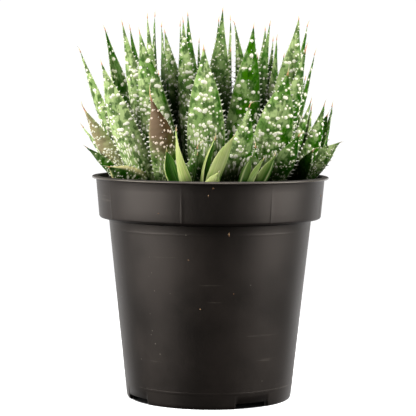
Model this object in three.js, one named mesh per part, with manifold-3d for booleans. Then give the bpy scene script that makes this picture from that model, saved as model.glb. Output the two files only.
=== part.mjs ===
// A haworthia-like rosette succulent grown into a clump in a black plastic nursery pot.
// Millimetres, +Z up. The origin is the centre of the pot's foot, on the surface it stands on.
// -Y is the side seen from the front, +X is its right. A bearing is an angle seen from above:
// 0 points to the front (-Y), 90 to the right (+X), 180 to the back.
import * as THREE from "three";
import { mergeVertices } from "three/addons/utils/BufferGeometryUtils.js";
import Module from "manifold-3d";

const wasm = await Module();
wasm.setup();

// ---------- driving dimensions ----------
const POT_HEIGHT = 113;
const LIP_RADIUS = 60.5; // the flared edge, the pot's widest place
const LIP_THICKNESS = 1.2;
const COLLAR_TOP_RADIUS = 58.2; // the deep band below the lip
const COLLAR_BOTTOM_RADIUS = 56.5;
const COLLAR_HEIGHT = 21.2;
const BODY_TOP_RADIUS = 51.6; // the cone below the collar's step
const FOOT_RADIUS = 42;
const WALL = 1.2;
const FLOOR_UNDERSIDE = 3.2; // the floor stands clear of the surface on the foot rim
const FLOOR_THICKNESS = 1.4;
const POT_SIDES = 36;

const NOTCH_COUNT = 4; // gaps in the foot rim that let water out
const NOTCH_FIRST_BEARING = 31;
const NOTCH_WIDTH = 18.6;
const NOTCH_HEIGHT = 2.7;
const DRAIN_HOLE_RADIUS = 4.2;
const DRAIN_HOLE_RING = 31;
const CENTRE_HOLE_RADIUS = 5.5;

const SOIL_EDGE_HEIGHT = 101; // where the mix meets the wall
const SOIL_MOUND = 2; // how much higher it lies in the middle
const SOIL_BUMP = 0.45;
const GAP = 0.3; // clearance between pieces that touch
const SLIVER = 0.01; // edges shorter than this are closed up where leaves join

const TOOTH_LENGTH = 1.2; // how far a tooth stands out of the margin at the leaf's widest place
const TOOTH_WIDTH = 1.6; // along the margin
const TOOTH_LEAN = 0.5; // how far its point leans to the leaf's tip
const THICKNESS_SHARE = 0.27; // a leaf's thickness as a share of its width

const COLOURS = {
  pot: 0x2e2a28,
  soil: 0x33261c,
  leaf: 0x5c8a4a,
  pup: 0x8fb463,
};

// ---------- the heads ----------
// Each head is one rosette. `at` is the middle of its crown on the soil, `crown` the crown's radius.
// A leaf row is [bearing its back faces, root x, root y, tip x, tip y, tip z, width, bow], where bow
// is how far the leaf bulges outward from the straight line between its root and its tip. Two more
// numbers may follow: a sway to the left as seen from outside, and a turn of the bearing from root
// to tip. A ring adds leaves at even bearings, short and spreading ones in turn with long and upright
// ones.
const HEADS = [
  {
    name: "head_centre",
    at: [-2.4, -11],
    crown: 7,
    leaves: [
      [0, -1.4, -16, -3.9, -32, 178, 18.8, 3],
      [-35, -8.4, -13, -14.3, -14, 191.6, 14.5, 1],
      [-140, -5.4, -7, -12.2, -1, 195.5, 13, 1],
      [170, 0.6, -6, 5.6, 2, 198, 15, 1],
      [-10, -3.4, -17, -6.7, -38, 129, 15, 3],
    ],
  },
  {
    name: "head_centre_right",
    at: [12.6, -11],
    crown: 5.5,
    leaves: [
      [15, 12.6, -12.5, 20.8, -22, 188.8, 17.5, 1],
      [14, 10.1, -17.5, 18.8, -38, 150, 12.5, 3],
      [140, 15.6, -6, 29.7, 2, 191, 12, 1],
    ],
  },
  {
    name: "head_left",
    at: [-26.4, -13],
    crown: 7,
    leaves: [
      [25, -19.9, -18, -29.6, -36, 153, 15, 3],
      [0, -20.4, -15, -35.8, -22, 185.6, 16.5, 1],
      [-30, -31.4, -18, -54.2, -28, 169.8, 16, 1.5],
      [-45, -24.9, -12, -44.8, -14, 190.3, 15.5, 1],
      [-125, -30.6, -10.6, -53.8, -8, 187.5, 16, 0.5],
      [-150, -27.4, -8, -41.5, -1, 188.3, 11, 0],
      [110, -21.4, -10.3, -25.4, -5.4, 189.6, 12, 0.2],
      [-25, -31.4, -19, -50.4, -36, 118.9, 14, -2],
    ],
  },
  {
    name: "head_far_left",
    at: [-42.4, 0],
    crown: 5.5,
    leaves: [
      [-68, -38.4, -1.5, -66.6, -4, 176.4, 14, 0.5],
      [-55, -40.4, -3.5, -63.8, -18, 147.5, 16, -0.5],
      [-85, -44.4, 0, -66, 3, 137.9, 9, -1.5],
      [-60, -42.4, -4, -63, -14, 127.8, 12, -2.5],
      [-120, -44.4, 4, -54.9, 16, 153, 12, 2],
      [160, -41.4, 4, -43.9, 15, 150, 10, 1],
      [60, -41.4, 2, -41.9, 5, 150, 9, 1],
    ],
  },
  {
    name: "head_right",
    at: [26.6, -12],
    crown: 6.5,
    leaves: [
      [3, 24.8, -17.5, 37.6, -33, 166, 19, 1],
      [30, 28.4, -11, 43.5, -15, 193.2, 19, 1, -1],
      [65, 28.6, -7.5, 48.3, -7, 190.3, 14, 1.5],
      [45, 29.6, -14, 47.1, -20, 179.2, 14, 1],
      [85, 29.6, -8, 52.5, -2, 176.1, 12, 1.5],
      [-10, 22.6, -19, 21.8, -40, 130, 7, 2],
      [20, 28.1, -17, 43.6, -31, 135.4, 12, 1],
      [60, 30.6, -11, 50.2, -13, 152, 11, 2],
    ],
  },
  {
    name: "head_far_right",
    at: [42.6, 0],
    crown: 5.5,
    leaves: [
      [100, 40.6, 0, 51.4, 3, 149, 12, 1],
      [50, 41.6, -4, 57.1, -10, 150.3, 13, 2],
      [150, 43.6, 4, 60.1, 9, 144.7, 16, 0.5],
      [105, 46.6, 0.6, 62.3, 7.6, 149.9, 8, 2.5],
      [45, 44.6, -4, 65.6, -8, 131, 15, -3.5],
      [130, 41.6, -5, 51, -22, 127.5, 10, 0],
      [-160, 40.6, 4, 44.1, 18, 146, 12, 2],
    ],
  },
  {
    name: "head_back_left",
    at: [-22.4, 23],
    crown: 6.5,
    leaves: [
      [-45, -24.4, 19, -33.2, 14, 194.7, 12, 1],
      [-100, -26.4, 22, -29.6, 24, 196, 13, 1],
      [30, -20.4, 19, -24.3, 13, 187.2, 16, 1, -3.5],
      [110, -17.4, 24, -16.4, 22.2, 191, 11, 1],
      [175, -21.4, 27, -21.4, 36, 176, 13, 1],
    ],
    ring: { count: 4, from: 180, to: 270, lean: 21, length: 76, width: 15, bow: 3 },
  },
  {
    name: "head_back_right",
    at: [20.6, 24],
    crown: 6.5,
    leaves: [
      [35, 24.6, 18, 32, 20, 183.6, 9, 1],
      [30, 22.6, 19, 27.7, 14, 189, 14, 1],
      [60, 25.6, 22, 33.7, 16, 184, 13, 1.5],
      [-20, 15.2, 19.7, 11.6, 12.3, 191.8, 11, 1, -4],
      [-178, 19.6, 28, 18.9, 38, 176, 13, 1],
    ],
    ring: { count: 4, from: 90, to: 180, lean: 21, length: 73, width: 15, bow: 3 },
  },
  {
    name: "head_back",
    at: [-1.4, 41],
    crown: 5.5,
    leaves: [
      [0, -1.4, 38, -2.9, 33, 156, 10, 1],
      [90, 0.6, 41, 2.2, 42, 150, 9, 1],
    ],
    ring: { count: 5, from: 100, to: 260, lean: 17, length: 58, width: 12, bow: 1.5 },
  },
  {
    name: "pup_front_left",
    at: [-12.4, -40],
    crown: 3.6,
    smooth: true,
    leaves: [
      [-130, -15.4, -41, -21.5, -42, 128, 9.5, 1],
      [-25, -11.4, -43, -16.9, -46, 138.2, 8, 1, 0, -80],
      [100, -9, -40.5, -6.3, -42, 126.5, 4, 0],
    ],
  },
  {
    name: "pup_front_middle",
    at: [-0.4, -41],
    crown: 3.6,
    smooth: true,
    leaves: [
      [-110, -3.6, -42, 2.3, -44, 133.7, 7.5, 1],
      [45, 0.6, -44, 11.6, -49, 135.2, 9, -2.5],
      [15, -2.2, -44.2, 3.8, -51, 117.5, 7, 0.5],
    ],
  },
  {
    name: "pup_front_right",
    at: [17.6, -40],
    crown: 3.6,
    smooth: true,
    leaves: [
      [-45, 14.4, -41, 19.9, -43, 124.8, 6.5, 0.5],
      [-80, 17, -42.4, 25.8, -45, 124, 7, 0.5],
      [50, 20.6, -41.5, 31.4, -46, 125.8, 9, 0],
    ],
  },
  {
    name: "head_middle",
    at: [-0.4, 14],
    crown: 5.5,
    leaves: [
      [-60, -3.4, 12, -15, 13, 179, 12, 1],
      [180, 0.6, 17, 3.7, 20, 193.6, 10, 1],
      [70, 2.6, 15, 9.7, 17, 194.1, 9, 2],
      [20, 2.6, 11, 10, 12, 178, 10, 1],
      [-130, -3.4, 17, -6.5, 22, 182.6, 9, 1],
    ],
  },
];

// ---------- solids from three.js geometries ----------
function solid(geometry) {
  const bare = new THREE.BufferGeometry();
  bare.setAttribute("position", geometry.getAttribute("position"));
  if (geometry.index) bare.setIndex(geometry.index);
  const merged = mergeVertices(bare, 1e-4);
  return new wasm.Manifold(
    new wasm.Mesh({
      numProp: 3,
      vertProperties: new Float32Array(merged.attributes.position.array),
      triVerts: new Uint32Array(merged.index.array),
    }),
  );
}

function geometryOf(body) {
  const mesh = body.getMesh();
  const geometry = new THREE.BufferGeometry();
  geometry.setAttribute("position", new THREE.BufferAttribute(mesh.vertProperties, 3));
  geometry.setIndex(new THREE.BufferAttribute(mesh.triVerts, 1));
  geometry.computeVertexNormals();
  return geometry;
}

const radians = (degrees) => (degrees * Math.PI) / 180;

// The level direction that a bearing points to.
function pointing(bearing) {
  return new THREE.Vector3(Math.sin(radians(bearing)), -Math.cos(radians(bearing)), 0);
}

// A body of revolution about the pot's axis, from [radius, height] pairs that start and end on the axis.
function turned(profile) {
  const points = profile.map(([radius, height]) => new THREE.Vector2(radius, height));
  return new THREE.LatheGeometry(points, POT_SIDES).rotateX(Math.PI / 2);
}

// ---------- the pot ----------
const LIP_UNDERSIDE = POT_HEIGHT - LIP_THICKNESS;
const STEP_HEIGHT = POT_HEIGHT - COLLAR_HEIGHT; // the collar's lower edge
const FLOOR_TOP = FLOOR_UNDERSIDE + FLOOR_THICKNESS;
const BODY_TOP = STEP_HEIGHT - 0.7;

// The cone's outer radius at a height between the foot and the step.
function bodyRadius(height) {
  return FOOT_RADIUS + ((BODY_TOP_RADIUS - FOOT_RADIUS) * height) / BODY_TOP;
}

function makePot() {
  const shell = solid(
    turned([
      [0, FLOOR_UNDERSIDE],
      [bodyRadius(FLOOR_UNDERSIDE) - WALL - 0.6, FLOOR_UNDERSIDE],
      [FOOT_RADIUS - WALL - 1, 0],
      [FOOT_RADIUS - 0.8, 0],
      [bodyRadius(0.9), 0.9],
      [BODY_TOP_RADIUS, BODY_TOP],
      [COLLAR_BOTTOM_RADIUS - 1, STEP_HEIGHT],
      [COLLAR_BOTTOM_RADIUS, STEP_HEIGHT + 1.2],
      [COLLAR_TOP_RADIUS, LIP_UNDERSIDE],
      [LIP_RADIUS - 0.3, LIP_UNDERSIDE],
      [LIP_RADIUS, POT_HEIGHT - 0.7],
      [LIP_RADIUS - 0.6, POT_HEIGHT],
      [COLLAR_TOP_RADIUS - WALL, POT_HEIGHT],
      [COLLAR_BOTTOM_RADIUS - WALL, STEP_HEIGHT + WALL + 1],
      [BODY_TOP_RADIUS - WALL, STEP_HEIGHT + WALL * 0.6],
      [bodyRadius(FLOOR_TOP) - WALL, FLOOR_TOP],
      [0, FLOOR_TOP],
    ]),
  );
  const cuts = [];
  for (let i = 0; i < NOTCH_COUNT; i++) {
    const bearing = NOTCH_FIRST_BEARING + (360 / NOTCH_COUNT) * i;
    const out = pointing(bearing);
    const notch = new THREE.BoxGeometry(NOTCH_WIDTH, 10, NOTCH_HEIGHT + 2);
    notch.rotateZ(radians(bearing));
    notch.translate(out.x * FOOT_RADIUS, out.y * FOOT_RADIUS, NOTCH_HEIGHT / 2 - 1);
    cuts.push(solid(notch));
    cuts.push(drainHole(DRAIN_HOLE_RADIUS, out.multiplyScalar(DRAIN_HOLE_RING)));
  }
  cuts.push(drainHole(CENTRE_HOLE_RADIUS, new THREE.Vector3()));
  return cuts.reduce((body, cut) => body.subtract(cut), shell);
}

function drainHole(radius, place) {
  const hole = new THREE.CylinderGeometry(radius, radius, FLOOR_THICKNESS + 2, 12);
  hole.rotateX(Math.PI / 2);
  hole.translate(place.x, place.y, FLOOR_UNDERSIDE + FLOOR_THICKNESS / 2);
  return solid(hole);
}

// ---------- the potting mix ----------
function makeSoil() {
  const inside = (height) => bodyRadius(height) - WALL - GAP;
  const geometry = turned([
    [0, FLOOR_TOP + GAP],
    [inside(FLOOR_TOP), FLOOR_TOP + GAP],
    [BODY_TOP_RADIUS - WALL - GAP, STEP_HEIGHT + WALL * 0.6],
    [COLLAR_BOTTOM_RADIUS - WALL - GAP - 0.4, STEP_HEIGHT + WALL + 1.8],
    [COLLAR_BOTTOM_RADIUS - WALL - GAP, SOIL_EDGE_HEIGHT],
    [36, SOIL_EDGE_HEIGHT + SOIL_MOUND * 0.6],
    [17, SOIL_EDGE_HEIGHT + SOIL_MOUND],
    [0, SOIL_EDGE_HEIGHT + SOIL_MOUND],
  ]);
  // Low uneven bumps on the top face: a sum of sines over the plane.
  const position = geometry.getAttribute("position");
  for (let i = 0; i < position.count; i++) {
    if (position.getZ(i) > SOIL_EDGE_HEIGHT + 0.5) {
      const wave = Math.sin(position.getX(i) * 0.31) + Math.sin(position.getY(i) * 0.37);
      position.setZ(i, position.getZ(i) + SOIL_BUMP * wave);
    }
  }
  let body = solid(geometry);
  for (const head of HEADS) body = body.subtract(crownHole(head));
  return body;
}

const CROWN_DEPTH = 12; // how far each crown's stem stands in the mix
const CROWN_RISE = 4;
const CROWN_SIDES = 9;

function crownColumn(head, radius, bottom, top) {
  const column = new THREE.CylinderGeometry(radius, radius, top - bottom, CROWN_SIDES);
  column.rotateX(Math.PI / 2);
  column.translate(head.at[0], head.at[1], (top + bottom) / 2);
  return solid(column);
}

function crownHole(head) {
  const bottom = SOIL_EDGE_HEIGHT - CROWN_DEPTH - GAP;
  return crownColumn(head, head.crown + GAP, bottom, SOIL_EDGE_HEIGHT + 10);
}

// ---------- leaves ----------
// A leaf's midrib is a quadratic curve from base to tip. Its sections lie across that curve:
// the inner face is a shallow channel, the back a rounded keel, and the two meet at the margins.
const STATIONS = [0, 0.16, 0.33, 0.5, 0.67, 0.82, 0.94];
const FIRST_TOOTHED = 1; // the station where the margins begin to carry teeth

function smoothstep(low, high, value) {
  const share = Math.min(1, Math.max(0, (value - low) / (high - low)));
  return share * share * (3 - 2 * share);
}

// Half the leaf's width at a share of its length. Slender leaves narrow over more of it than
// stout ones, and all are drawn out to a fine point.
function halfWidth(leaf, along) {
  const stoutness = leaf.width / leaf.tip.distanceTo(leaf.base);
  const narrowing = Math.min(0.78, Math.max(0.56, 0.92 - 1.25 * stoutness));
  const taper = Math.sin((Math.PI / 2) * Math.pow(Math.min(1, (1 - along) / narrowing), 0.9));
  const drawnOut = 0.6 + 0.4 * smoothstep(0, 0.28, 1 - along);
  return 0.5 * leaf.width * taper * drawnOut * (0.8 + 0.2 * smoothstep(0, 0.28, along));
}

// How far the margins curl inward there, as a share of the half width.
function cupping(along) {
  return 0.34 - 0.26 * smoothstep(0, 0.6, along);
}

function frameAt(leaf, along) {
  const { base, knee, tip } = leaf;
  const centre = new THREE.Vector3()
    .addScaledVector(base, (1 - along) ** 2)
    .addScaledVector(knee, 2 * along * (1 - along))
    .addScaledVector(tip, along ** 2);
  const forward = new THREE.Vector3()
    .addScaledVector(knee.clone().sub(base), 1 - along)
    .addScaledVector(tip.clone().sub(knee), along)
    .normalize();
  const outward = leaf.outward.clone().addScaledVector(forward, -leaf.outward.dot(forward)).normalize();
  outward.applyAxisAngle(forward, leaf.twist * along);
  const across = new THREE.Vector3().crossVectors(outward, forward).normalize();
  return { centre, forward, outward, across };
}

// A point of the leaf: `side` runs from -1 to 1 between the margins, `depth` is 0 on the inner
// face and 1 on the back.
function leafPoint(leaf, frame, along, side, depth) {
  const half = halfWidth(leaf, along);
  const thickness = Math.max(0.7, 2 * half * THICKNESS_SHARE) * Math.pow(1 - side ** 2, 0.7);
  const lift = thickness * depth - cupping(along) * half * side ** 2;
  return frame.centre.clone().addScaledVector(frame.across, half * side).addScaledVector(frame.outward, lift);
}

// The six points of a section, in turn round it.
const SECTION = [
  [-1, 0],
  [-0.55, 1],
  [0, 1],
  [0.55, 1],
  [1, 0],
  [0, 0],
];

// The margins carry teeth: past each toothed station the edge steps out to a tooth's point and back.
function tooth(leaf, along, side) {
  const length = leaf.tip.distanceTo(leaf.base);
  const back = along + TOOTH_WIDTH / length;
  const between = (along + back) / 2;
  const frame = frameAt(leaf, between);
  const point = leafPoint(leaf, frame, between, side, 0);
  const size = TOOTH_LENGTH * (0.5 + halfWidth(leaf, between) / leaf.width);
  point.addScaledVector(frame.across, side * size).addScaledVector(frame.forward, TOOTH_LEAN);
  return [point, leafPoint(leaf, frameAt(leaf, back), back, side, 0)];
}

// A leaf as one closed mesh: six lines of points run from base to tip, and the two margins among
// them have the teeth's extra points between stations.
function blade(leaf, toothed) {
  const vertices = [];
  const place = (point) => vertices.push(point.toArray()) - 1;
  const lines = SECTION.map(() => []);
  STATIONS.forEach((along, k) => {
    const frame = frameAt(leaf, along);
    SECTION.forEach(([side, depth], j) => {
      const run = [place(leafPoint(leaf, frame, along, side, depth))];
      const last = k === STATIONS.length - 1;
      if (toothed && Math.abs(side) === 1 && k >= FIRST_TOOTHED && !last) {
        run.push(...tooth(leaf, along, side).map(place));
      }
      lines[j].push(run);
    });
  });
  const apex = place(leaf.tip);
  const index = [];
  for (let j = 0; j < SECTION.length; j++) {
    const here = lines[j];
    const next = lines[(j + 1) % SECTION.length];
    for (let k = 0; k + 1 < STATIONS.length; k++) {
      strip(index, [...here[k], here[k + 1][0]], [...next[k], next[k + 1][0]]);
    }
    index.push(next.at(-1)[0], here.at(-1)[0], apex);
  }
  for (let j = 1; j + 1 < SECTION.length; j++) index.push(lines[0][0][0], lines[j][0][0], lines[j + 1][0][0]);
  const geometry = new THREE.BufferGeometry();
  geometry.setAttribute("position", new THREE.BufferAttribute(new Float32Array(vertices.flat()), 3));
  geometry.setIndex(index);
  return solid(geometry);
}

// Triangles between two lines of points, fanned from the start of the one with fewer.
function strip(index, here, next) {
  for (let i = 0; i + 1 < here.length; i++) index.push(next[0], here[i], here[i + 1]);
  for (let i = 0; i + 1 < next.length; i++) index.push(next[i], here.at(-1), next[i + 1]);
}

// A leaf from its row. Leaves that lean far start low on their crown.
function rooted([bearing, rootX, rootY, tipX, tipY, tipZ, width, bow, sway = 0, twist = 0]) {
  const outward = pointing(bearing);
  const lean = Math.min(1, Math.hypot(tipX - rootX, tipY - rootY) / (tipZ - SOIL_EDGE_HEIGHT));
  const base = new THREE.Vector3(rootX, rootY, SOIL_EDGE_HEIGHT + 6.5 - 2 * lean);
  const tip = new THREE.Vector3(tipX, tipY, tipZ);
  const chord = tip.clone().sub(base).normalize();
  const bulge = outward.clone().addScaledVector(chord, -outward.dot(chord)).normalize();
  const aside = new THREE.Vector3().crossVectors(bulge, chord);
  const knee = base.clone().lerp(tip, 0.42).addScaledVector(bulge, 2 * bow).addScaledVector(aside, 2 * sway);
  return { base, knee, tip, outward, width, twist: radians(twist) };
}

function ringRows({ at, crown, ring }) {
  return Array.from({ length: ring.count }, (_, i) => {
    const bearing = ring.from + ((ring.to - ring.from) * (i + 0.5)) / ring.count;
    const lean = radians(ring.lean * (i % 2 ? 0.7 : 1.15));
    const length = ring.length * (i % 2 ? 1 : 0.88);
    const out = pointing(bearing);
    const root = crown * (0.35 + 0.4 * Math.sin(lean));
    const reach = root + length * Math.sin(lean);
    const height = SOIL_EDGE_HEIGHT + 4 + length * Math.cos(lean);
    const places = [root * out.x, root * out.y, reach * out.x, reach * out.y];
    const [rootX, rootY, tipX, tipY] = places.map((value, k) => value + at[k % 2]);
    return [bearing, rootX, rootY, tipX, tipY, height, ring.width, ring.bow];
  });
}

function leavesOf(head) {
  const rows = head.ring ? [...head.leaves, ...ringRows(head)] : head.leaves;
  return rows.map(rooted);
}

function makeHead(head) {
  const bottom = SOIL_EDGE_HEIGHT - CROWN_DEPTH;
  const pieces = [crownColumn(head, head.crown, bottom, SOIL_EDGE_HEIGHT + CROWN_RISE + 3)];
  for (const leaf of leavesOf(head)) pieces.push(blade(leaf, !head.smooth));
  // Pockets closed in between crossing leaves are filled: the outer skin is kept.
  const skins = wasm.Manifold.union(pieces).simplify(SLIVER).decompose();
  return skins.reduce((best, skin) => (skin.volume() > best.volume() ? skin : best));
}

// ---------- the object ----------
function node(name, body, colour, roughness) {
  const material = new THREE.MeshStandardMaterial({ color: colour, roughness, metalness: 0 });
  const mesh = new THREE.Mesh(geometryOf(body), material);
  mesh.name = name;
  return mesh;
}

const plant = new THREE.Group();
plant.add(node("pot", makePot(), COLOURS.pot, 0.5));
plant.add(node("soil", makeSoil(), COLOURS.soil, 0.95));
for (const head of HEADS) {
  plant.add(node(head.name, makeHead(head), head.smooth ? COLOURS.pup : COLOURS.leaf, 0.55));
}

export default plant;
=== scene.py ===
import math
from dataclasses import dataclass, replace

import bpy
import numpy as np
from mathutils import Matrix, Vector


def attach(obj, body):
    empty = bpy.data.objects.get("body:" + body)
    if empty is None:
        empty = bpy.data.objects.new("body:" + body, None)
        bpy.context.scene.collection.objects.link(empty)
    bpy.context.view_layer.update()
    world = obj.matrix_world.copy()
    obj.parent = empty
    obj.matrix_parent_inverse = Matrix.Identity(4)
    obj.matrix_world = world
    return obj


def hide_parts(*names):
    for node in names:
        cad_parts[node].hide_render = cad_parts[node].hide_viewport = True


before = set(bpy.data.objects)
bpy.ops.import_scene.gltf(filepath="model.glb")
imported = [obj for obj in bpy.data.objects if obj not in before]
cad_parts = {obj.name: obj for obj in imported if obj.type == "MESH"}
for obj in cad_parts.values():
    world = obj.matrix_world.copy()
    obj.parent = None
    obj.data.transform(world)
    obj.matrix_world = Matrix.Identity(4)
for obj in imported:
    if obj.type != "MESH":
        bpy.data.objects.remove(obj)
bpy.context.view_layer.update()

MM = 0.001

# ---------- driving dimensions, as in the CAD ----------
POT_HEIGHT = 113.0
LIP_RADIUS = 60.5
LIP_THICKNESS = 1.2
COLLAR_TOP_RADIUS = 58.2
COLLAR_BOTTOM_RADIUS = 56.5
COLLAR_HEIGHT = 21.2
BODY_TOP_RADIUS = 51.6
FOOT_RADIUS = 42.0
WALL = 1.2
FLOOR_UNDERSIDE = 3.2
FLOOR_THICKNESS = 1.4
NOTCH_COUNT = 4
NOTCH_FIRST_BEARING = 31.0
NOTCH_WIDTH = 18.6
NOTCH_HEIGHT = 2.7
DRAIN_HOLE_RADIUS = 4.2
DRAIN_HOLE_RING = 31.0
CENTRE_HOLE_RADIUS = 5.5
SOIL_EDGE_HEIGHT = 101.0
SOIL_MOUND = 2.0
GAP = 0.3
THICKNESS_SHARE = 0.27

LIP_UNDERSIDE = POT_HEIGHT - LIP_THICKNESS
STEP_HEIGHT = POT_HEIGHT - COLLAR_HEIGHT
FLOOR_TOP = FLOOR_UNDERSIDE + FLOOR_THICKNESS
BODY_TOP = STEP_HEIGHT - 0.7
NOTCH_HALF_ANGLE = math.degrees(math.asin(NOTCH_WIDTH / 2 / FOOT_RADIUS))


# ---------- how leaves are marked ----------
@dataclass(frozen=True)
class Look:
    """One kind of leaf. Sizes are millimetres, the rest are shares from 0 to 1."""

    row_step: float = 4.1  # between rows of flecks
    spacing: float = 1.9  # between flecks in a row
    fleck: float = 0.98  # half a fleck's width
    keep: float = 0.85  # places on the back that carry a fleck
    inner_keep: float = 0.3  # places on the inner face that do
    bloom: float = 0.0  # towards a paler, bluer bloom, or less than 0 for a fresher green
    deep: float = 0.0  # towards a darker green
    flush: float = 0.0  # purple-brown, strongest at the tip
    flush_from: float = 0.5  # the share of the length where it starts
    grey: float = 0.0  # a dull brownish grey
    gold: float = 0.0  # yellow margins
    dry_from: float = 0.972  # where the tip turns orange-brown
    toothed: bool = True


PUP_LOOK = Look(keep=0.0, inner_keep=0.0, dry_from=0.985, toothed=False)
LOOKS = {
    "banded": Look(),
    "lush": Look(bloom=-0.8, row_step=5.6, spacing=2.4, fleck=1.05, keep=0.72),
    "glaucous": Look(bloom=0.5),
    "fine": Look(row_step=2.3, spacing=1.5, fleck=0.46, keep=0.85, inner_keep=0.8, bloom=0.2),
    "dark": Look(row_step=2.6, spacing=1.8, fleck=0.52, keep=0.8, deep=0.7),
    "flushed": Look(flush=1.0, flush_from=0.3, row_step=3.0, spacing=2.0, fleck=0.72, dry_from=0.965),
    "greyed": Look(grey=0.8, row_step=2.4, spacing=1.5, fleck=0.6, keep=0.9, dry_from=0.95),
    "golden": Look(
        gold=1.0, deep=0.6, row_step=2.4, spacing=1.8, fleck=0.6, inner_keep=0.8, dry_from=0.95
    ),
    "orange_end": Look(dry_from=0.94, bloom=0.3),
    "inside_flecked": Look(inner_keep=0.75, bloom=0.3),
    "bare": Look(keep=0.2, inner_keep=0.0, deep=0.5),
    "young": Look(row_step=3.0, spacing=1.9, fleck=0.42, inner_keep=0.2, deep=0.5),
    "pup": PUP_LOOK,
    "pup_mid": replace(PUP_LOOK, deep=0.8),
    "pup_deep": replace(PUP_LOOK, deep=1.0),
}

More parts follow.
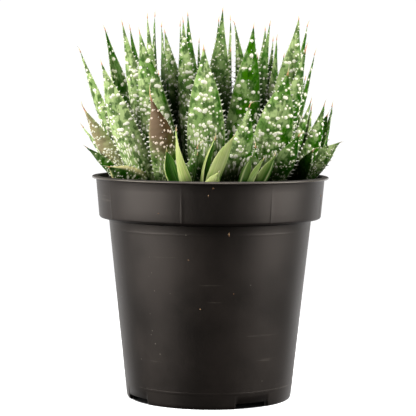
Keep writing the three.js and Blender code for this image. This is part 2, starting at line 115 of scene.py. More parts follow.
# Each head is one rosette: `at` is the middle of its crown on the mix and `crown` its radius. A leaf
# row is (the bearing its back faces, root x, root y, tip x, tip y, tip z, width, bow), then its look
# where it isn't banded, a sway to one side, and a turn of the bearing from root to tip. `ring` stands
# for more leaves at even bearings, and `smooth` is for offsets, which have no teeth and no flecks.
HEADS = {
    "head_centre": dict(
        at=(-2.4, -11),
        crown=7,
        leaves=[
            (0, -1.4, -16, -3.9, -32, 178, 18.8, 3),
            (-35, -8.4, -13, -14.3, -14, 191.6, 14.5, 1),
            (-140, -5.4, -7, -12.2, -1, 195.5, 13, 1),
            (170, 0.6, -6, 5.6, 2, 198, 15, 1, "fine"),
            (-10, -3.4, -17, -6.7, -38, 129, 15, 3, "dark"),
        ],
    ),
    "head_centre_right": dict(
        at=(12.6, -11),
        crown=5.5,
        leaves=[
            (15, 12.6, -12.5, 20.8, -22, 188.8, 17.5, 1, "lush"),
            (14, 10.1, -17.5, 18.8, -38, 150, 12.5, 3),
            (140, 15.6, -6, 29.7, 2, 191, 12, 1),
        ],
    ),
    "head_left": dict(
        at=(-26.4, -13),
        crown=7,
        leaves=[
            (25, -19.9, -18, -29.6, -36, 153, 15, 3, "flushed"),
            (0, -20.4, -15, -35.8, -22, 185.6, 16.5, 1),
            (-30, -31.4, -18, -54.2, -28, 169.8, 16, 1.5, "glaucous"),
            (-45, -24.9, -12, -44.8, -14, 190.3, 15.5, 1, "glaucous"),
            (-125, -30.6, -10.6, -53.8, -8, 187.5, 16, 0.5, "inside_flecked"),
            (-150, -27.4, -8, -41.5, -1, 188.3, 11, 0),
            (110, -21.4, -10.3, -25.4, -5.4, 189.6, 12, 0.2),
            (-25, -31.4, -19, -50.4, -36, 118.9, 14, -2, "golden"),
        ],
    ),
    "head_far_left": dict(
        at=(-42.4, 0),
        crown=5.5,
        leaves=[
            (-68, -38.4, -1.5, -66.6, -4, 176.4, 14, 0.5),
            (-55, -40.4, -3.5, -63.8, -18, 147.5, 16, -0.5, "greyed"),
            (-85, -44.4, 0, -66, 3, 137.9, 9, -1.5),
            (-60, -42.4, -4, -63, -14, 127.8, 12, -2.5, "dark"),
            (-120, -44.4, 4, -54.9, 16, 153, 12, 2),
            (160, -41.4, 4, -43.9, 15, 150, 10, 1),
            (60, -41.4, 2, -41.9, 5, 150, 9, 1),
        ],
    ),
    "head_right": dict(
        at=(26.6, -12),
        crown=6.5,
        leaves=[
            (3, 24.8, -17.5, 37.6, -33, 166, 19, 1),
            (30, 28.4, -11, 43.5, -15, 193.2, 19, 1, "glaucous", -1),
            (65, 28.6, -7.5, 48.3, -7, 190.3, 14, 1.5),
            (45, 29.6, -14, 47.1, -20, 179.2, 14, 1, "orange_end"),
            (85, 29.6, -8, 52.5, -2, 176.1, 12, 1.5),
            (-10, 22.6, -19, 21.8, -40, 130, 7, 2),
            (20, 28.1, -17, 43.6, -31, 135.4, 12, 1, "dark"),
            (60, 30.6, -11, 50.2, -13, 152, 11, 2),
        ],
    ),
    "head_far_right": dict(
        at=(42.6, 0),
        crown=5.5,
        leaves=[
            (100, 40.6, 0, 51.4, 3, 149, 12, 1, "orange_end"),
            (50, 41.6, -4, 57.1, -10, 150.3, 13, 2),
            (150, 43.6, 4, 60.1, 9, 144.7, 16, 0.5, "bare"),
            (105, 46.6, 0.6, 62.3, 7.6, 149.9, 8, 2.5),
            (45, 44.6, -4, 65.6, -8, 131, 15, -3.5, "fine"),
            (130, 41.6, -5, 51, -22, 127.5, 10, 0, "bare"),
            (-160, 40.6, 4, 44.1, 18, 146, 12, 2),
        ],
    ),
    "head_back_left": dict(
        at=(-22.4, 23),
        crown=6.5,
        leaves=[
            (-45, -24.4, 19, -33.2, 14, 194.7, 12, 1),
            (-100, -26.4, 22, -29.6, 24, 196, 13, 1),
            (30, -20.4, 19, -24.3, 13, 187.2, 16, 1, "banded", -3.5),
            (110, -17.4, 24, -16.4, 22.2, 191, 11, 1),
            (175, -21.4, 27, -21.4, 36, 176, 13, 1),
        ],
        ring=dict(count=4, start=180, end=270, lean=21, length=76, width=15, bow=3),
    ),
    "head_back_right": dict(
        at=(20.6, 24),
        crown=6.5,
        leaves=[
            (35, 24.6, 18, 32, 20, 183.6, 9, 1),
            (30, 22.6, 19, 27.7, 14, 189, 14, 1),
            (60, 25.6, 22, 33.7, 16, 184, 13, 1.5),
            (-20, 15.2, 19.7, 11.6, 12.3, 191.8, 11, 1, "banded", -4),
            (-178, 19.6, 28, 18.9, 38, 176, 13, 1),
        ],
        ring=dict(count=4, start=90, end=180, lean=21, length=73, width=15, bow=3),
    ),
    "head_back": dict(
        at=(-1.4, 41),
        crown=5.5,
        leaves=[
            (0, -1.4, 38, -2.9, 33, 156, 10, 1),
            (90, 0.6, 41, 2.2, 42, 150, 9, 1),
        ],
        ring=dict(count=5, start=100, end=260, lean=17, length=58, width=12, bow=1.5),
    ),
    "pup_front_left": dict(
        at=(-12.4, -40),
        crown=3.6,
        smooth=True,
        leaves=[
            (-130, -15.4, -41, -21.5, -42, 128, 9.5, 1, "pup"),
            (-25, -11.4, -43, -16.9, -46, 138.2, 8, 1, "pup", 0, -80),
            (100, -9, -40.5, -6.3, -42, 126.5, 4, 0, "pup_deep"),
        ],
    ),
    "pup_front_middle": dict(
        at=(-0.4, -41),
        crown=3.6,
        smooth=True,
        leaves=[
            (-110, -3.6, -42, 2.3, -44, 133.7, 7.5, 1, "pup"),
            (45, 0.6, -44, 11.6, -49, 135.2, 9, -2.5, "pup"),
            (15, -2.2, -44.2, 3.8, -51, 117.5, 7, 0.5, "pup"),
        ],
    ),
    "pup_front_right": dict(
        at=(17.6, -40),
        crown=3.6,
        smooth=True,
        leaves=[
            (-45, 14.4, -41, 19.9, -43, 124.8, 6.5, 0.5, "pup_deep"),
            (-80, 17, -42.4, 25.8, -45, 124, 7, 0.5, "pup_mid"),
            (50, 20.6, -41.5, 31.4, -46, 125.8, 9, 0, "pup_mid"),
        ],
    ),
    "head_middle": dict(
        at=(-0.4, 14),
        crown=5.5,
        leaves=[
            (-60, -3.4, 12, -15, 13, 179, 12, 1),
            (180, 0.6, 17, 3.7, 20, 193.6, 10, 1),
            (70, 2.6, 15, 9.7, 17, 194.1, 9, 2),
            (20, 2.6, 11, 10, 12, 178, 10, 1),
            (-130, -3.4, 17, -6.5, 22, 182.6, 9, 1),
        ],
    ),
}

# Long dry bristles, by head and leaf: (length, the way its end bends as x, y, z, how far).
LONG_BRISTLES = {
    ("head_left", 0): (12.0, (0.35, -0.3, 0.9), 0.35),
    ("head_centre", 4): (8.5, (0.95, -0.1, -0.5), 0.9),
    ("head_centre_right", 1): (5.5, (1.0, -0.2, -0.2), 0.9),
    ("head_right", 0): (3.5, (0.1, 0.0, 1.0), 0.2),
    ("head_right", 5): (4.5, (-0.4, 0.0, 1.0), 0.4),
    ("head_right", 6): (6.0, (0.6, -0.5, 0.4), 0.8),
    ("head_far_right", 5): (6.0, (0.7, -0.4, -0.2), 0.6),
    ("head_far_left", 1): (6.5, (-0.3, 0.0, 1.0), 0.4),
    ("head_back_right", 3): (3.0, (-0.9, 0.0, 0.2), 0.8),
    ("pup_front_left", 1): (2.0, (0.0, 0.0, 1.0), 0.3),
    ("pup_front_middle", 0): (4.6, (-0.3, 0.0, 1.0), 0.3),
    ("pup_front_right", 2): (2.6, (0.0, 0.0, 1.0), 0.7),
}

# Leaves that stand behind others of their head, by head: their places in its list.
# Their lower halves are painted dark as the shade of the leaves in front.
BEHIND = {
    "head_centre": (1, 2, 3),
    "head_centre_right": (2,),
    "head_left": (3, 4, 5, 6),
    "head_far_left": (4, 5, 6),
    "head_right": (2, 4, 7),
    "head_far_right": (6,),
    "head_middle": (0, 1, 2, 3, 4),
}

HEART_LEAVES = 5  # young leaves that fill the middle of each head
HEART_ROWS = 44
HEART_HEIGHT = 26.0  # of the first of them above the mix
HEART_RISE = 6.5  # from each to the next
HEART_WIDTH = 8.5  # of the first
HEART_BRISTLE = 1.6
PUP_BRISTLE = 1.2
GOLDEN_ANGLE = 137.5

ROOT_HEIGHT = 6.5  # of an upright leaf's base above the edge of the mix
ROOT_DROP = 2.0  # how much lower a leaf that leans far has its base
CROWN_DEPTH = 4.0  # of a crown's foot below the edge of the mix
SHEATH_RISE = 6.0  # turns the part of a leaf inside its crown upwards
KNEE_SHARE = 0.42  # where on its length a leaf bows most
LEAF_ROWS = 78
TIP_ROWS = 10
BACK_COLUMNS = 22
INNER_COLUMNS = 12

TOOTH_SPACING = 2.5
TOOTH_LENGTH = 1.8
TOOTH_SIDES = 5
KEEL_TOOTH_SPACING = 3.4
BRISTLE_ROOT = 1.6  # how far inside the leaf's tip a bristle starts
BRISTLE_SIDES = 6
FLECK_HEIGHT = 0.14
FLECKED_SHARE = 0.92  # of the leaf's width, the rest is bare margin
HALO_REACH = 0.22  # how far the paler skin round a fleck goes
DOME_SIDES = 7
LIGHT_SIDE = np.array([-0.8, -0.5, 0.33])  # towards the light: painted sheen faces it, painted shade faces away
# The clump's ellipse bounds the painted shade among the leaves.
CLUMP_HALF_WIDTH = 46.0  # of the ellipse round the leaves where they leave the mix
CLUMP_HALF_DEPTH = 31.0
CLUMP_MIDDLE = 10.0  # how far behind the pot's axis its middle lies

LEAF_SEED, HEART_SEED, CHIP_SEED, CRUMB_SEED = 7, 8, 90, 91


# ---------- plain mathematics ----------
def unit(vectors):
    """Each vector divided by its own length."""
    return vectors / np.maximum(1e-12, np.linalg.norm(vectors, axis=-1, keepdims=True))


def smooth(low, high, value):
    """0 below low and 1 above high, with the cubic 3t^2 - 2t^3 between them."""
    share = np.clip((value - low) / (high - low), 0, 1)
    return share * share * (3 - 2 * share)


def pointing(bearing):
    """The level direction of a bearing in degrees."""
    turn = np.radians(bearing)
    return np.stack([np.sin(turn), -np.cos(turn), np.zeros_like(turn)], -1)


def even_bearings(count, first=0.0):
    """Bearings at an even pitch all round, from the first of them on."""
    return first + np.arange(count) * 360 / count


def circle(count):
    """The cosines and the sines of count even angles, as two columns."""
    turn = 2 * np.pi * np.arange(count)[:, None] / count
    return np.cos(turn), np.sin(turn)


def quadratic(start, middle, end, share):
    """The curve start (1 - s)^2 + middle 2 s (1 - s) + end s^2, with s the share."""
    return start * (1 - share) ** 2 + middle * 2 * share * (1 - share) + end * share**2


def turned(bearings, radii, heights):
    """Rings round the pot's axis: a row of points at each radius and height."""
    points = pointing(bearings)[None] * radii[..., None]
    points[..., 2] = heights
    return points


def lattice_noise(x, y, cell, seed):
    """Random heights on a square lattice of the given cell, blended smoothly between its corners."""
    table = np.random.default_rng(seed).uniform(-1, 1, (64, 64))
    across, up = x / cell + 200, y / cell + 200
    column, row = np.floor(across).astype(int), np.floor(up).astype(int)
    right, above = smooth(0, 1, across - column), smooth(0, 1, up - row)
    corner = lambda i, j: table[(row + j) % 64, (column + i) % 64]
    low = corner(0, 0) * (1 - right) + corner(1, 0) * right
    high = corner(0, 1) * (1 - right) + corner(1, 1) * right
    return low * (1 - above) + high * above


def ring_quads(rows, columns):
    """Quads of a grid whose last column joins its first."""
    row, column = np.meshgrid(np.arange(rows - 1), np.arange(columns), indexing="ij")
    after = (column + 1) % columns
    corners = [row * columns + column, row * columns + after]
    corners += [(row + 1) * columns + after, (row + 1) * columns + column]
    return np.stack(corners, -1).reshape(-1, 4)


def capped_tube(points):
    """A grid of rings closed by a fan at each end: the first and last ring meet at their middles.

    points is rings x columns x 3. Returns the flat points and the faces.
    """
    rings, columns = points.shape[:2]
    flat = points.reshape(-1, 3)
    flat = np.vstack([flat, points[0].mean(0), points[-1].mean(0)])
    here = np.arange(columns)
    after = (here + 1) % columns
    last = (rings - 1) * columns
    start = np.stack([after, here, np.full(columns, len(flat) - 2)], -1)
    end = np.stack([last + here, last + after, np.full(columns, len(flat) - 1)], -1)
    return flat, [ring_quads(rings, columns), start, end]


def signed_volume(points, faces):
    """Six times the volume inside the faces, negative where they point inwards."""
    total = 0.0
    for group in faces:
        for k in range(1, group.shape[1] - 1):
            first, second, third = points[group[:, 0]], points[group[:, k]], points[group[:, k + 1]]
            total += np.einsum("ij,ij->", first, np.cross(second, third))
    return total


class Surfaces:
    """Gathers closed surfaces, their finishes and their point values into one piece."""

    def __init__(self):
        self.points = []
        self.faces = {3: [], 4: []}
        self.finishes = {3: [], 4: []}
        self.values = []
        self.count = 0

    def add(self, points, faces, finish=0, **values):
        """Adds one or more closed surfaces, all turned the same way. They end up turned outwards."""
        turn = slice(None, None, -1) if signed_volume(points, faces) < 0 else slice(None)
        for group in faces:
            corners = group.shape[1]
            self.faces[corners].append(group[:, turn] + self.count)
            self.finishes[corners].append(np.full(len(group), finish, np.int32))
        self.points.append(points)
        whole = {key: np.broadcast_to(v, (len(points),) + np.shape(v)[1:]) for key, v in values.items()}
        self.values.append(whole)
        self.count += len(points)

    def piece(self, name, materials):
        """The mesh object, in metres, with one point attribute for each value."""
        groups = [np.concatenate(self.faces[k]) for k in (3, 4) if self.faces[k]]
        finishes = np.concatenate([np.concatenate(self.finishes[k]) for k in (3, 4) if self.faces[k]])
        corners = np.concatenate([group.ravel() for group in groups]).astype(np.int32)
        sizes = np.concatenate([np.full(len(group), group.shape[1]) for group in groups])
        mesh = bpy.data.meshes.new(name)
        mesh.vertices.add(self.count)
        mesh.vertices.foreach_set("co", (np.concatenate(self.points) * MM).astype(np.float32).ravel())
        mesh.loops.add(len(corners))
        mesh.loops.foreach_set("vertex_index", corners)
        mesh.polygons.add(len(sizes))
        mesh.polygons.foreach_set("loop_start", (np.cumsum(sizes) - sizes).astype(np.int32))
        for material in materials:
            mesh.materials.append(material)
        mesh.polygons.foreach_set("material_index", finishes)
        mesh.update(calc_edges=True)
        mesh.validate()
        mesh.shade_smooth()
        for key in sorted({key for part in self.values for key in part}):
            parts = [part.get(key, np.zeros(len(p))) for part, p in zip(self.values, self.points)]
            wide = max(part.ndim for part in parts)
            kind, field = ("FLOAT_VECTOR", "vector") if wide == 2 else ("FLOAT", "value")
            if wide == 2:
                parts = [p if p.ndim == 2 else np.repeat(p[:, None], 3, 1) for p in parts]
            layer = mesh.attributes.new(key, kind, "POINT")
            layer.data.foreach_set(field, np.concatenate(parts).astype(np.float32).ravel())
        made = bpy.data.objects.new(name, mesh)
        bpy.context.scene.collection.objects.link(made)
        return made


# ---------- node helpers ----------
def linear(red, green, blue):
    """A colour given as it looks on screen, 0 to 255, as Blender's linear values."""
    shares = np.array([red, green, blue]) / 255
    values = np.where(shares <= 0.04045, shares / 12.92, ((shares + 0.055) / 1.055) ** 2.4)
    return (*(float(v) for v in values), 1.0)


def wire(tree, socket, value):
    """Links another node's output to the socket, or sets a plain value on it."""
    if isinstance(value, bpy.types.NodeSocket):
        tree.links.new(value, socket)
    else:
        socket.default_value = value


def attribute(tree, name):
    """The node that reads one of the mesh's point values."""
    made = tree.nodes.new("ShaderNodeAttribute")
    made.attribute_name = name
    return made


def calc(tree, operation, first, second=0.0, clamp=False):
    """One step of arithmetic, kept between 0 and 1 where clamp is set."""
    made = tree.nodes.new("ShaderNodeMath")
    made.operation = operation
    made.use_clamp = clamp
    wire(tree, made.inputs[0], first)
    wire(tree, made.inputs[1], second)
    return made.outputs[0]


def times(tree, first, second, clamp=False):
    """The product of two values."""
    return calc(tree, "MULTIPLY", first, second, clamp)


def weight(tree, name, amount=1.0):
    """One of the mesh's point values, times an amount."""
    share = attribute(tree, name).outputs["Fac"]
    return share if amount == 1 else times(tree, share, amount)


def mixed(tree, share, first, second):
    """first where share is 0, second where it is 1."""
    made = tree.nodes.new("ShaderNodeMix")
    made.data_type = "RGBA"
    wire(tree, made.inputs[0], share)
    wire(tree, made.inputs[6], first)
    wire(tree, made.inputs[7], second)
    return made.outputs[2]


def layered(tree, colour, *layers):
    """The colour with each layer, a pair of share and colour, mixed over it in turn."""
    for share, over in layers:
        colour = mixed(tree, share, colour, over)
    return colour


def ranged(tree, value, low, high, start=0.0, end=1.0):
    """Eases from start to end as the value goes from low to high."""
    made = tree.nodes.new("ShaderNodeMapRange")
    made.interpolation_type = "SMOOTHSTEP"
    wire(tree, made.inputs["Value"], value)
    for name, number in (("From Min", low), ("From Max", high), ("To Min", start), ("To Max", end)):
        made.inputs[name].default_value = number
    return made.outputs[0]


def stretched(tree, place, scale):
    """Coordinates multiplied by a scale for each axis."""
    made = tree.nodes.new("ShaderNodeMapping")
    wire(tree, made.inputs["Vector"], place)
    made.inputs["Scale"].default_value = scale
    return made.outputs[0]


def object_place(tree):
    """Where a point lies in the part, in metres."""
    return tree.nodes.new("ShaderNodeTexCoord").outputs["Object"]


def cloudy(tree, place, scale, detail=3.0, rough=0.55):
    """Soft noise round 0.5, with scale lumps to a unit of place."""
    made = tree.nodes.new("ShaderNodeTexNoise")
    wire(tree, made.inputs["Vector"], place)
    made.inputs["Scale"].default_value = scale
    made.inputs["Detail"].default_value = detail
    made.inputs["Roughness"].default_value = rough
    return made.outputs["Fac"]


def streaky(tree, place, scale, detail=1.0):
    """The same noise with a scale of its own along each axis."""
    return cloudy(tree, stretched(tree, place, scale), 1.0, detail)


def cells(tree, place, scale):
    """The distance from the nearest of many scattered points."""
    made = tree.nodes.new("ShaderNodeTexVoronoi")
    wire(tree, made.inputs["Vector"], place)
    made.inputs["Scale"].default_value = scale
    return made.outputs["Distance"]


def relief(tree, height, strength, depth):
    """A bump normal from a height, with its full depth in metres."""
    made = tree.nodes.new("ShaderNodeBump")
    wire(tree, made.inputs["Height"], height)
    made.inputs["Strength"].default_value = strength
    made.inputs["Distance"].default_value = depth
    return made.outputs[0]


def finish_material(name, build, **constants):
    """A material whose shader takes its colour, roughness and normal from build(tree)."""
    material = bpy.data.materials.new(name)
    material.use_nodes = True
    tree = material.node_tree
    shader = tree.nodes["Principled BSDF"]
    for key, value in constants.items():
        shader.inputs[key.replace("_", " ")].default_value = value
    for key, value in build(tree).items():
        wire(tree, shader.inputs[key], value)
    return material


# ---------- the finishes ----------
LEAF_GREEN = linear(60, 118, 4)
DEEP_GREEN = linear(16, 64, 0)
# Wax bloom, together with painted sheen on skin turned to the light.
BLOOM_AND_SHEEN_GREEN = linear(184, 205, 138)
INNER_GREEN = linear(44, 102, 8)
PALE_GREEN = linear(198, 212, 142)
# Painted shade: the dark green that stands in for shade deep among the leaves.
PAINTED_SHADE_GREEN = linear(6, 22, 1)
CREAM = linear(252, 250, 228)
LOW_CREAM = linear(122, 156, 50)
PLUM = linear(78, 60, 38)
PLUM_PALE = linear(172, 148, 122)
PLUM_CREAM = linear(232, 206, 188)
DULL_GREY = linear(168, 150, 116)
GOLD = linear(244, 232, 168)
STRAW = linear(226, 206, 150)
ORANGE_BROWN = linear(222, 152, 112)
HORN = linear(253, 252, 240)
PUP_BACK = linear(194, 200, 130)
PUP_VEIN = linear(150, 176, 84)
PUP_CLOUD = linear(188, 200, 138)
PUP_DEEP = linear(36, 88, 2)
PUP_INNER = linear(22, 84, 0)
PUP_INNER_VEIN = linear(78, 124, 32)
PUP_KEEL = linear(204, 206, 152)
PUP_MARGIN = linear(208, 216, 156)
POT_DARK = linear(17, 14, 12)
POT_DUSTY = linear(28, 23, 20)
# Painted shade: near black for the wall inside the pot above the mix and the lip's top face.
POT_PAINTED_SHADE = linear(5, 4, 3)
DUST = linear(150, 142, 130)
PEAT_DARK = linear(34, 24, 18)
PEAT_BROWN = linear(82, 60, 42)
PEAT_CRUMB = linear(112, 86, 60)
BARK_DARK = linear(58, 38, 26)
BARK_PALE = linear(134, 100, 68)
BARK_STREAK = linear(36, 26, 20)
GRIT = linear(206, 198, 180)
CRUMB_BROWN = linear(120, 82, 54)
CRUMB_BEIGE = linear(212, 178, 138)
# How far each finish is painted towards the painted shade green where it is most sheltered.
LEAF_SHADE = 0.99  # how far the skin darkens where it is most sheltered
MARK_SHADE = 0.96  # how far flecks and teeth do
PUP_SHADE = 0.6


def leaf_skin(tree):
    """Waxy green: lengthwise streaks, clouds of bloom, paler round the flecks and at the margins, with
    painted sheen towards the light and painted shade away from it and among the leaves.
    """
    place = attribute(tree, "leaf_place").outputs["Vector"]
    clouds = cloudy(tree, object_place(tree), 140.0, 3.0)
    streaks = streaky(tree, place, (1.3, 0.09, 1.0), 4.0)
    grain = streaky(tree, place, (3.5, 1.6, 1.0), 3.0)
    mottle = streaky(tree, place, (0.42, 0.3, 1.0), 2.0)
    bloom = calc(tree, "ADD", ranged(tree, clouds, 0.42, 0.58, -0.15, 1.25), weight(tree, "bloom"))
    plum = mixed(tree, times(tree, weight(tree, "bloom"), 0.8, True), PLUM, PLUM_PALE)
    colour = layered(
        tree,
        LEAF_GREEN,
        # wax bloom by look and clouds, and painted sheen where the skin faces the light
        (times(tree, bloom, 0.5, True), BLOOM_AND_SHEEN_GREEN),
        (ranged(tree, streaks, 0.48, 0.72, 0.0, 0.45), DEEP_GREEN),
        # the look's darker green, and painted shade near the base and where the skin faces away from the
        # light
        (weight(tree, "deep", 0.85), DEEP_GREEN),
        (weight(tree, "inner", 0.5), INNER_GREEN),
        (ranged(tree, mottle, 0.45, 0.6, 0.0, 0.72), DEEP_GREEN),
        (ranged(tree, grain, 0.6, 0.72, 0.0, 0.12), BLOOM_AND_SHEEN_GREEN),
        (weight(tree, "pale", 0.62), PALE_GREEN),
        (weight(tree, "grey"), DULL_GREY),
        (times(tree, weight(tree, "flush"), ranged(tree, clouds, 0.2, 0.5, 0.7, 1.0)), plum),
        (weight(tree, "gold"), GOLD),
        (weight(tree, "edge"), PALE_GREEN),
        (weight(tree, "dry"), ORANGE_BROWN),
        # painted shade deep in the clump and low on leaves that stand behind others
        (weight(tree, "shade", LEAF_SHADE), PAINTED_SHADE_GREEN),
    )
    height = calc(tree, "ADD", streaks, times(tree, grain, 0.6))
    return {
        "Base Color": colour,
        "Roughness": ranged(tree, clouds, 0.3, 0.7, 0.38, 0.5),
        "Normal": relief(tree, height, 0.35, 0.0003),
    }


def fleck_skin(tree):
    """Cream on top of each fleck, greenish at its foot and low on the leaf, pinkish on a flushed one;
    painted shade darkens it deep in the clump.
    """
    grain = cloudy(tree, object_place(tree), 2500.0, 2.0)
    colour = layered(
        tree,
        PALE_GREEN,
        (ranged(tree, weight(tree, "pale"), 0.15, 0.6), CREAM),
        (weight(tree, "low", 0.78), LOW_CREAM),
        (weight(tree, "flush", 0.8), PLUM_CREAM),
        (weight(tree, "gold", 0.6), GOLD),
        (weight(tree, "shade", MARK_SHADE), PAINTED_SHADE_GREEN),
    )
    return {
        "Base Color": colour,
        "Roughness": ranged(tree, grain, 0.3, 0.7, 0.42, 0.6),
        "Normal": relief(tree, grain, 0.25, 0.0002),
    }


def tooth_skin(tree):
    """Hard white horn, a little green where it leaves the margin; painted shade darkens it deep in the
    clump.
    """
    grain = cloudy(tree, object_place(tree), 1800.0, 2.0)
    colour = layered(
        tree,
        PALE_GREEN,
        (ranged(tree, weight(tree, "pale"), 0.0, 0.4), HORN),
        (ranged(tree, grain, 0.45, 0.8, 0.0, 0.3), STRAW),
        (weight(tree, "shade", MARK_SHADE), PAINTED_SHADE_GREEN),
    )
    return {"Base Color": colour, "Roughness": ranged(tree, grain, 0.3, 0.7, 0.35, 0.5)}


def bristle_skin(tree):
    """Dry and papery: orange-brown at the leaf's tip, then straw, nearly white at the end."""
    along = weight(tree, "dry")
    grain = cloudy(tree, object_place(tree), 3000.0, 2.0)
    straw, horn = ranged(tree, along, 0.0, 0.45), ranged(tree, along, 0.4, 1.0)
    colour = layered(tree, ORANGE_BROWN, (straw, STRAW), (horn, HORN))
    return {"Base Color": colour, "Roughness": ranged(tree, grain, 0.3, 0.7, 0.5, 0.7)}


def pup_skin(tree):
    """Smooth and shiny: yellow-green back with fine lengthwise veins, dark inner face, pale margins, and
    painted shade low on its deep green.
    """
    place = attribute(tree, "leaf_place").outputs["Vector"]
    veins = streaky(tree, place, (2.6, 0.06, 1.0), 3.0)
    clouds = cloudy(tree, object_place(tree), 160.0, 2.0)
    inside = mixed(tree, ranged(tree, veins, 0.4, 0.65), PUP_INNER, PUP_INNER_VEIN)
    colour = layered(
        tree,
        PUP_BACK,
        (ranged(tree, veins, 0.35, 0.7), PUP_VEIN),
        (ranged(tree, clouds, 0.4, 0.75, 0.0, 0.5), PUP_CLOUD),
        # the look's darker green, and painted shade near the base and where the skin faces away from the
        # light
        (weight(tree, "deep"), PUP_DEEP),
        (weight(tree, "inner"), inside),
        # painted shade low in the clump, where the skin is also deep
        (times(tree, weight(tree, "shade", PUP_SHADE), weight(tree, "deep")), PAINTED_SHADE_GREEN),
        (weight(tree, "pale"), PUP_KEEL),
        (weight(tree, "edge"), PUP_MARGIN),
        (weight(tree, "dry"), ORANGE_BROWN),
    )
    return {
        "Base Color": colour,
        "Roughness": ranged(tree, clouds, 0.3, 0.7, 0.28, 0.42),
        "Normal": relief(tree, veins, 0.3, 0.0002),
    }


def pot_regions(tree, place):
    """Two shares by distance from the axis and height. The first is 1 on the outermost rim of the lip,
    where the plastic is smoother and its colour painted paler as a highlight, the second on the wall
    above the mix and on the lip's top face, which are rougher and painted near black as shade."""
    parts = tree.nodes.new("ShaderNodeSeparateXYZ")
    tree.links.new(place, parts.inputs[0])
    squares = [times(tree, parts.outputs[axis], parts.outputs[axis]) for axis in ("X", "Y")]
    out, height = calc(tree, "SQRT", calc(tree, "ADD", *squares)), parts.outputs["Z"]
    rim = ranged(tree, out, (LIP_RADIUS - 0.5) * MM, (LIP_RADIUS - 0.1) * MM)
    wall = COLLAR_TOP_RADIUS - 1.0
    inner_wall = ranged(tree, out, wall * MM, (wall + 0.2) * MM, 1.0, 0.0)
    above_mix = SOIL_EDGE_HEIGHT + SOIL_MOUND + 0.5
    inside = times(tree, inner_wall, ranged(tree, height, above_mix * MM, (above_mix + 1.0) * MM))
    top = ranged(tree, height, (POT_HEIGHT - 0.2) * MM, (POT_HEIGHT - 0.05) * MM)
    return rim, calc(tree, "MAXIMUM", inside, top)


def pot_skin(tree):
    """Satin moulded plastic: faint turning lines, cloudy dust, pale specks and thin scuffs, a painted
    highlight on the lip's rim and painted shade inside above the mix and on the lip's top.
    """
    place = object_place(tree)
    film = cloudy(tree, place, 28.0, 4.0, 0.6)
    turning = streaky(tree, place, (6.0, 6.0, 900.0), 2.0)
    grain = cloudy(tree, place, 900.0, 2.0)
    specks = ranged(tree, cells(tree, place, 210.0), 0.035, 0.075, 1.0, 0.0)
    specks = times(tree, specks, ranged(tree, cloudy(tree, place, 45.0, 1.0), 0.56, 0.64))
    scuffs = streaky(tree, place, (24.0, 24.0, 700.0), 1.0)
    scuffs = times(tree, ranged(tree, scuffs, 0.7, 0.74), ranged(tree, film, 0.52, 0.66))
    rim, dull_and_shaded = pot_regions(tree, place)
    colour = layered(
        tree,
        POT_DARK,
        (ranged(tree, film, 0.35, 0.7), POT_DUSTY),
        (times(tree, specks, 0.6), DUST),
        (times(tree, scuffs, 0.14), DUST),
        # painted highlight on the lip's rim
        (times(tree, rim, 0.3), DUST),
        # painted shade inside the pot above the mix and on the lip's top face
        (dull_and_shaded, POT_PAINTED_SHADE),
    )
    rough = calc(tree, "ADD", ranged(tree, film, 0.3, 0.7, 0.34, 0.42), times(tree, grain, 0.08))
    rough = calc(tree, "SUBTRACT", rough, times(tree, rim, 0.26))
    height = calc(tree, "ADD", times(tree, turning, 0.5), times(tree, grain, 0.35))
    return {
        "Base Color": colour,
        "Roughness": calc(tree, "ADD", rough, dull_and_shaded, True),
        "Normal": relief(tree, height, 0.12, 0.0002),
    }


def mix_skin(tree):
    """Dark peat, with browner clouds and paler crumbs."""
    place = object_place(tree)
    crumbs = cells(tree, place, 620.0)
    clouds = cloudy(tree, place, 220.0, 5.0, 0.7)
    brown, crumb = ranged(tree, clouds, 0.35, 0.7), ranged(tree, crumbs, 0.1, 0.5, 0.35, 0.0)
    colour = layered(tree, PEAT_DARK, (brown, PEAT_BROWN), (crumb, PEAT_CRUMB))
    height = calc(tree, "ADD", clouds, crumbs)
    return {"Base Color": colour, "Roughness": 0.92, "Normal": relief(tree, height, 0.8, 0.0012)}


def chip_skin(tree):
    """Bark and grit: dark to pale brown by chip, with dark streaks along the grain; the grit is grey."""
    place = object_place(tree)
    streaks = streaky(tree, place, (900.0, 240.0, 700.0), 4.0)
    colour = layered(
        tree,
        BARK_DARK,
        (weight(tree, "tone"), BARK_PALE),
        (ranged(tree, streaks, 0.45, 0.7, 0.0, 0.5), BARK_STREAK),
        (weight(tree, "grit"), GRIT),
    )
    return {"Base Color": colour, "Roughness": 0.85, "Normal": relief(tree, streaks, 0.6, 0.0006)}


def crumb_skin(tree):
    """Dry beige crumbs of mix stuck to the pot."""
    grain = cloudy(tree, object_place(tree), 1500.0, 4.0, 0.7)
    colour = mixed(tree, ranged(tree, grain, 0.35, 0.7), CRUMB_BROWN, CRUMB_BEIGE)
    return {"Base Color": colour, "Roughness": 0.9, "Normal": relief(tree, grain, 0.7, 0.0004)}


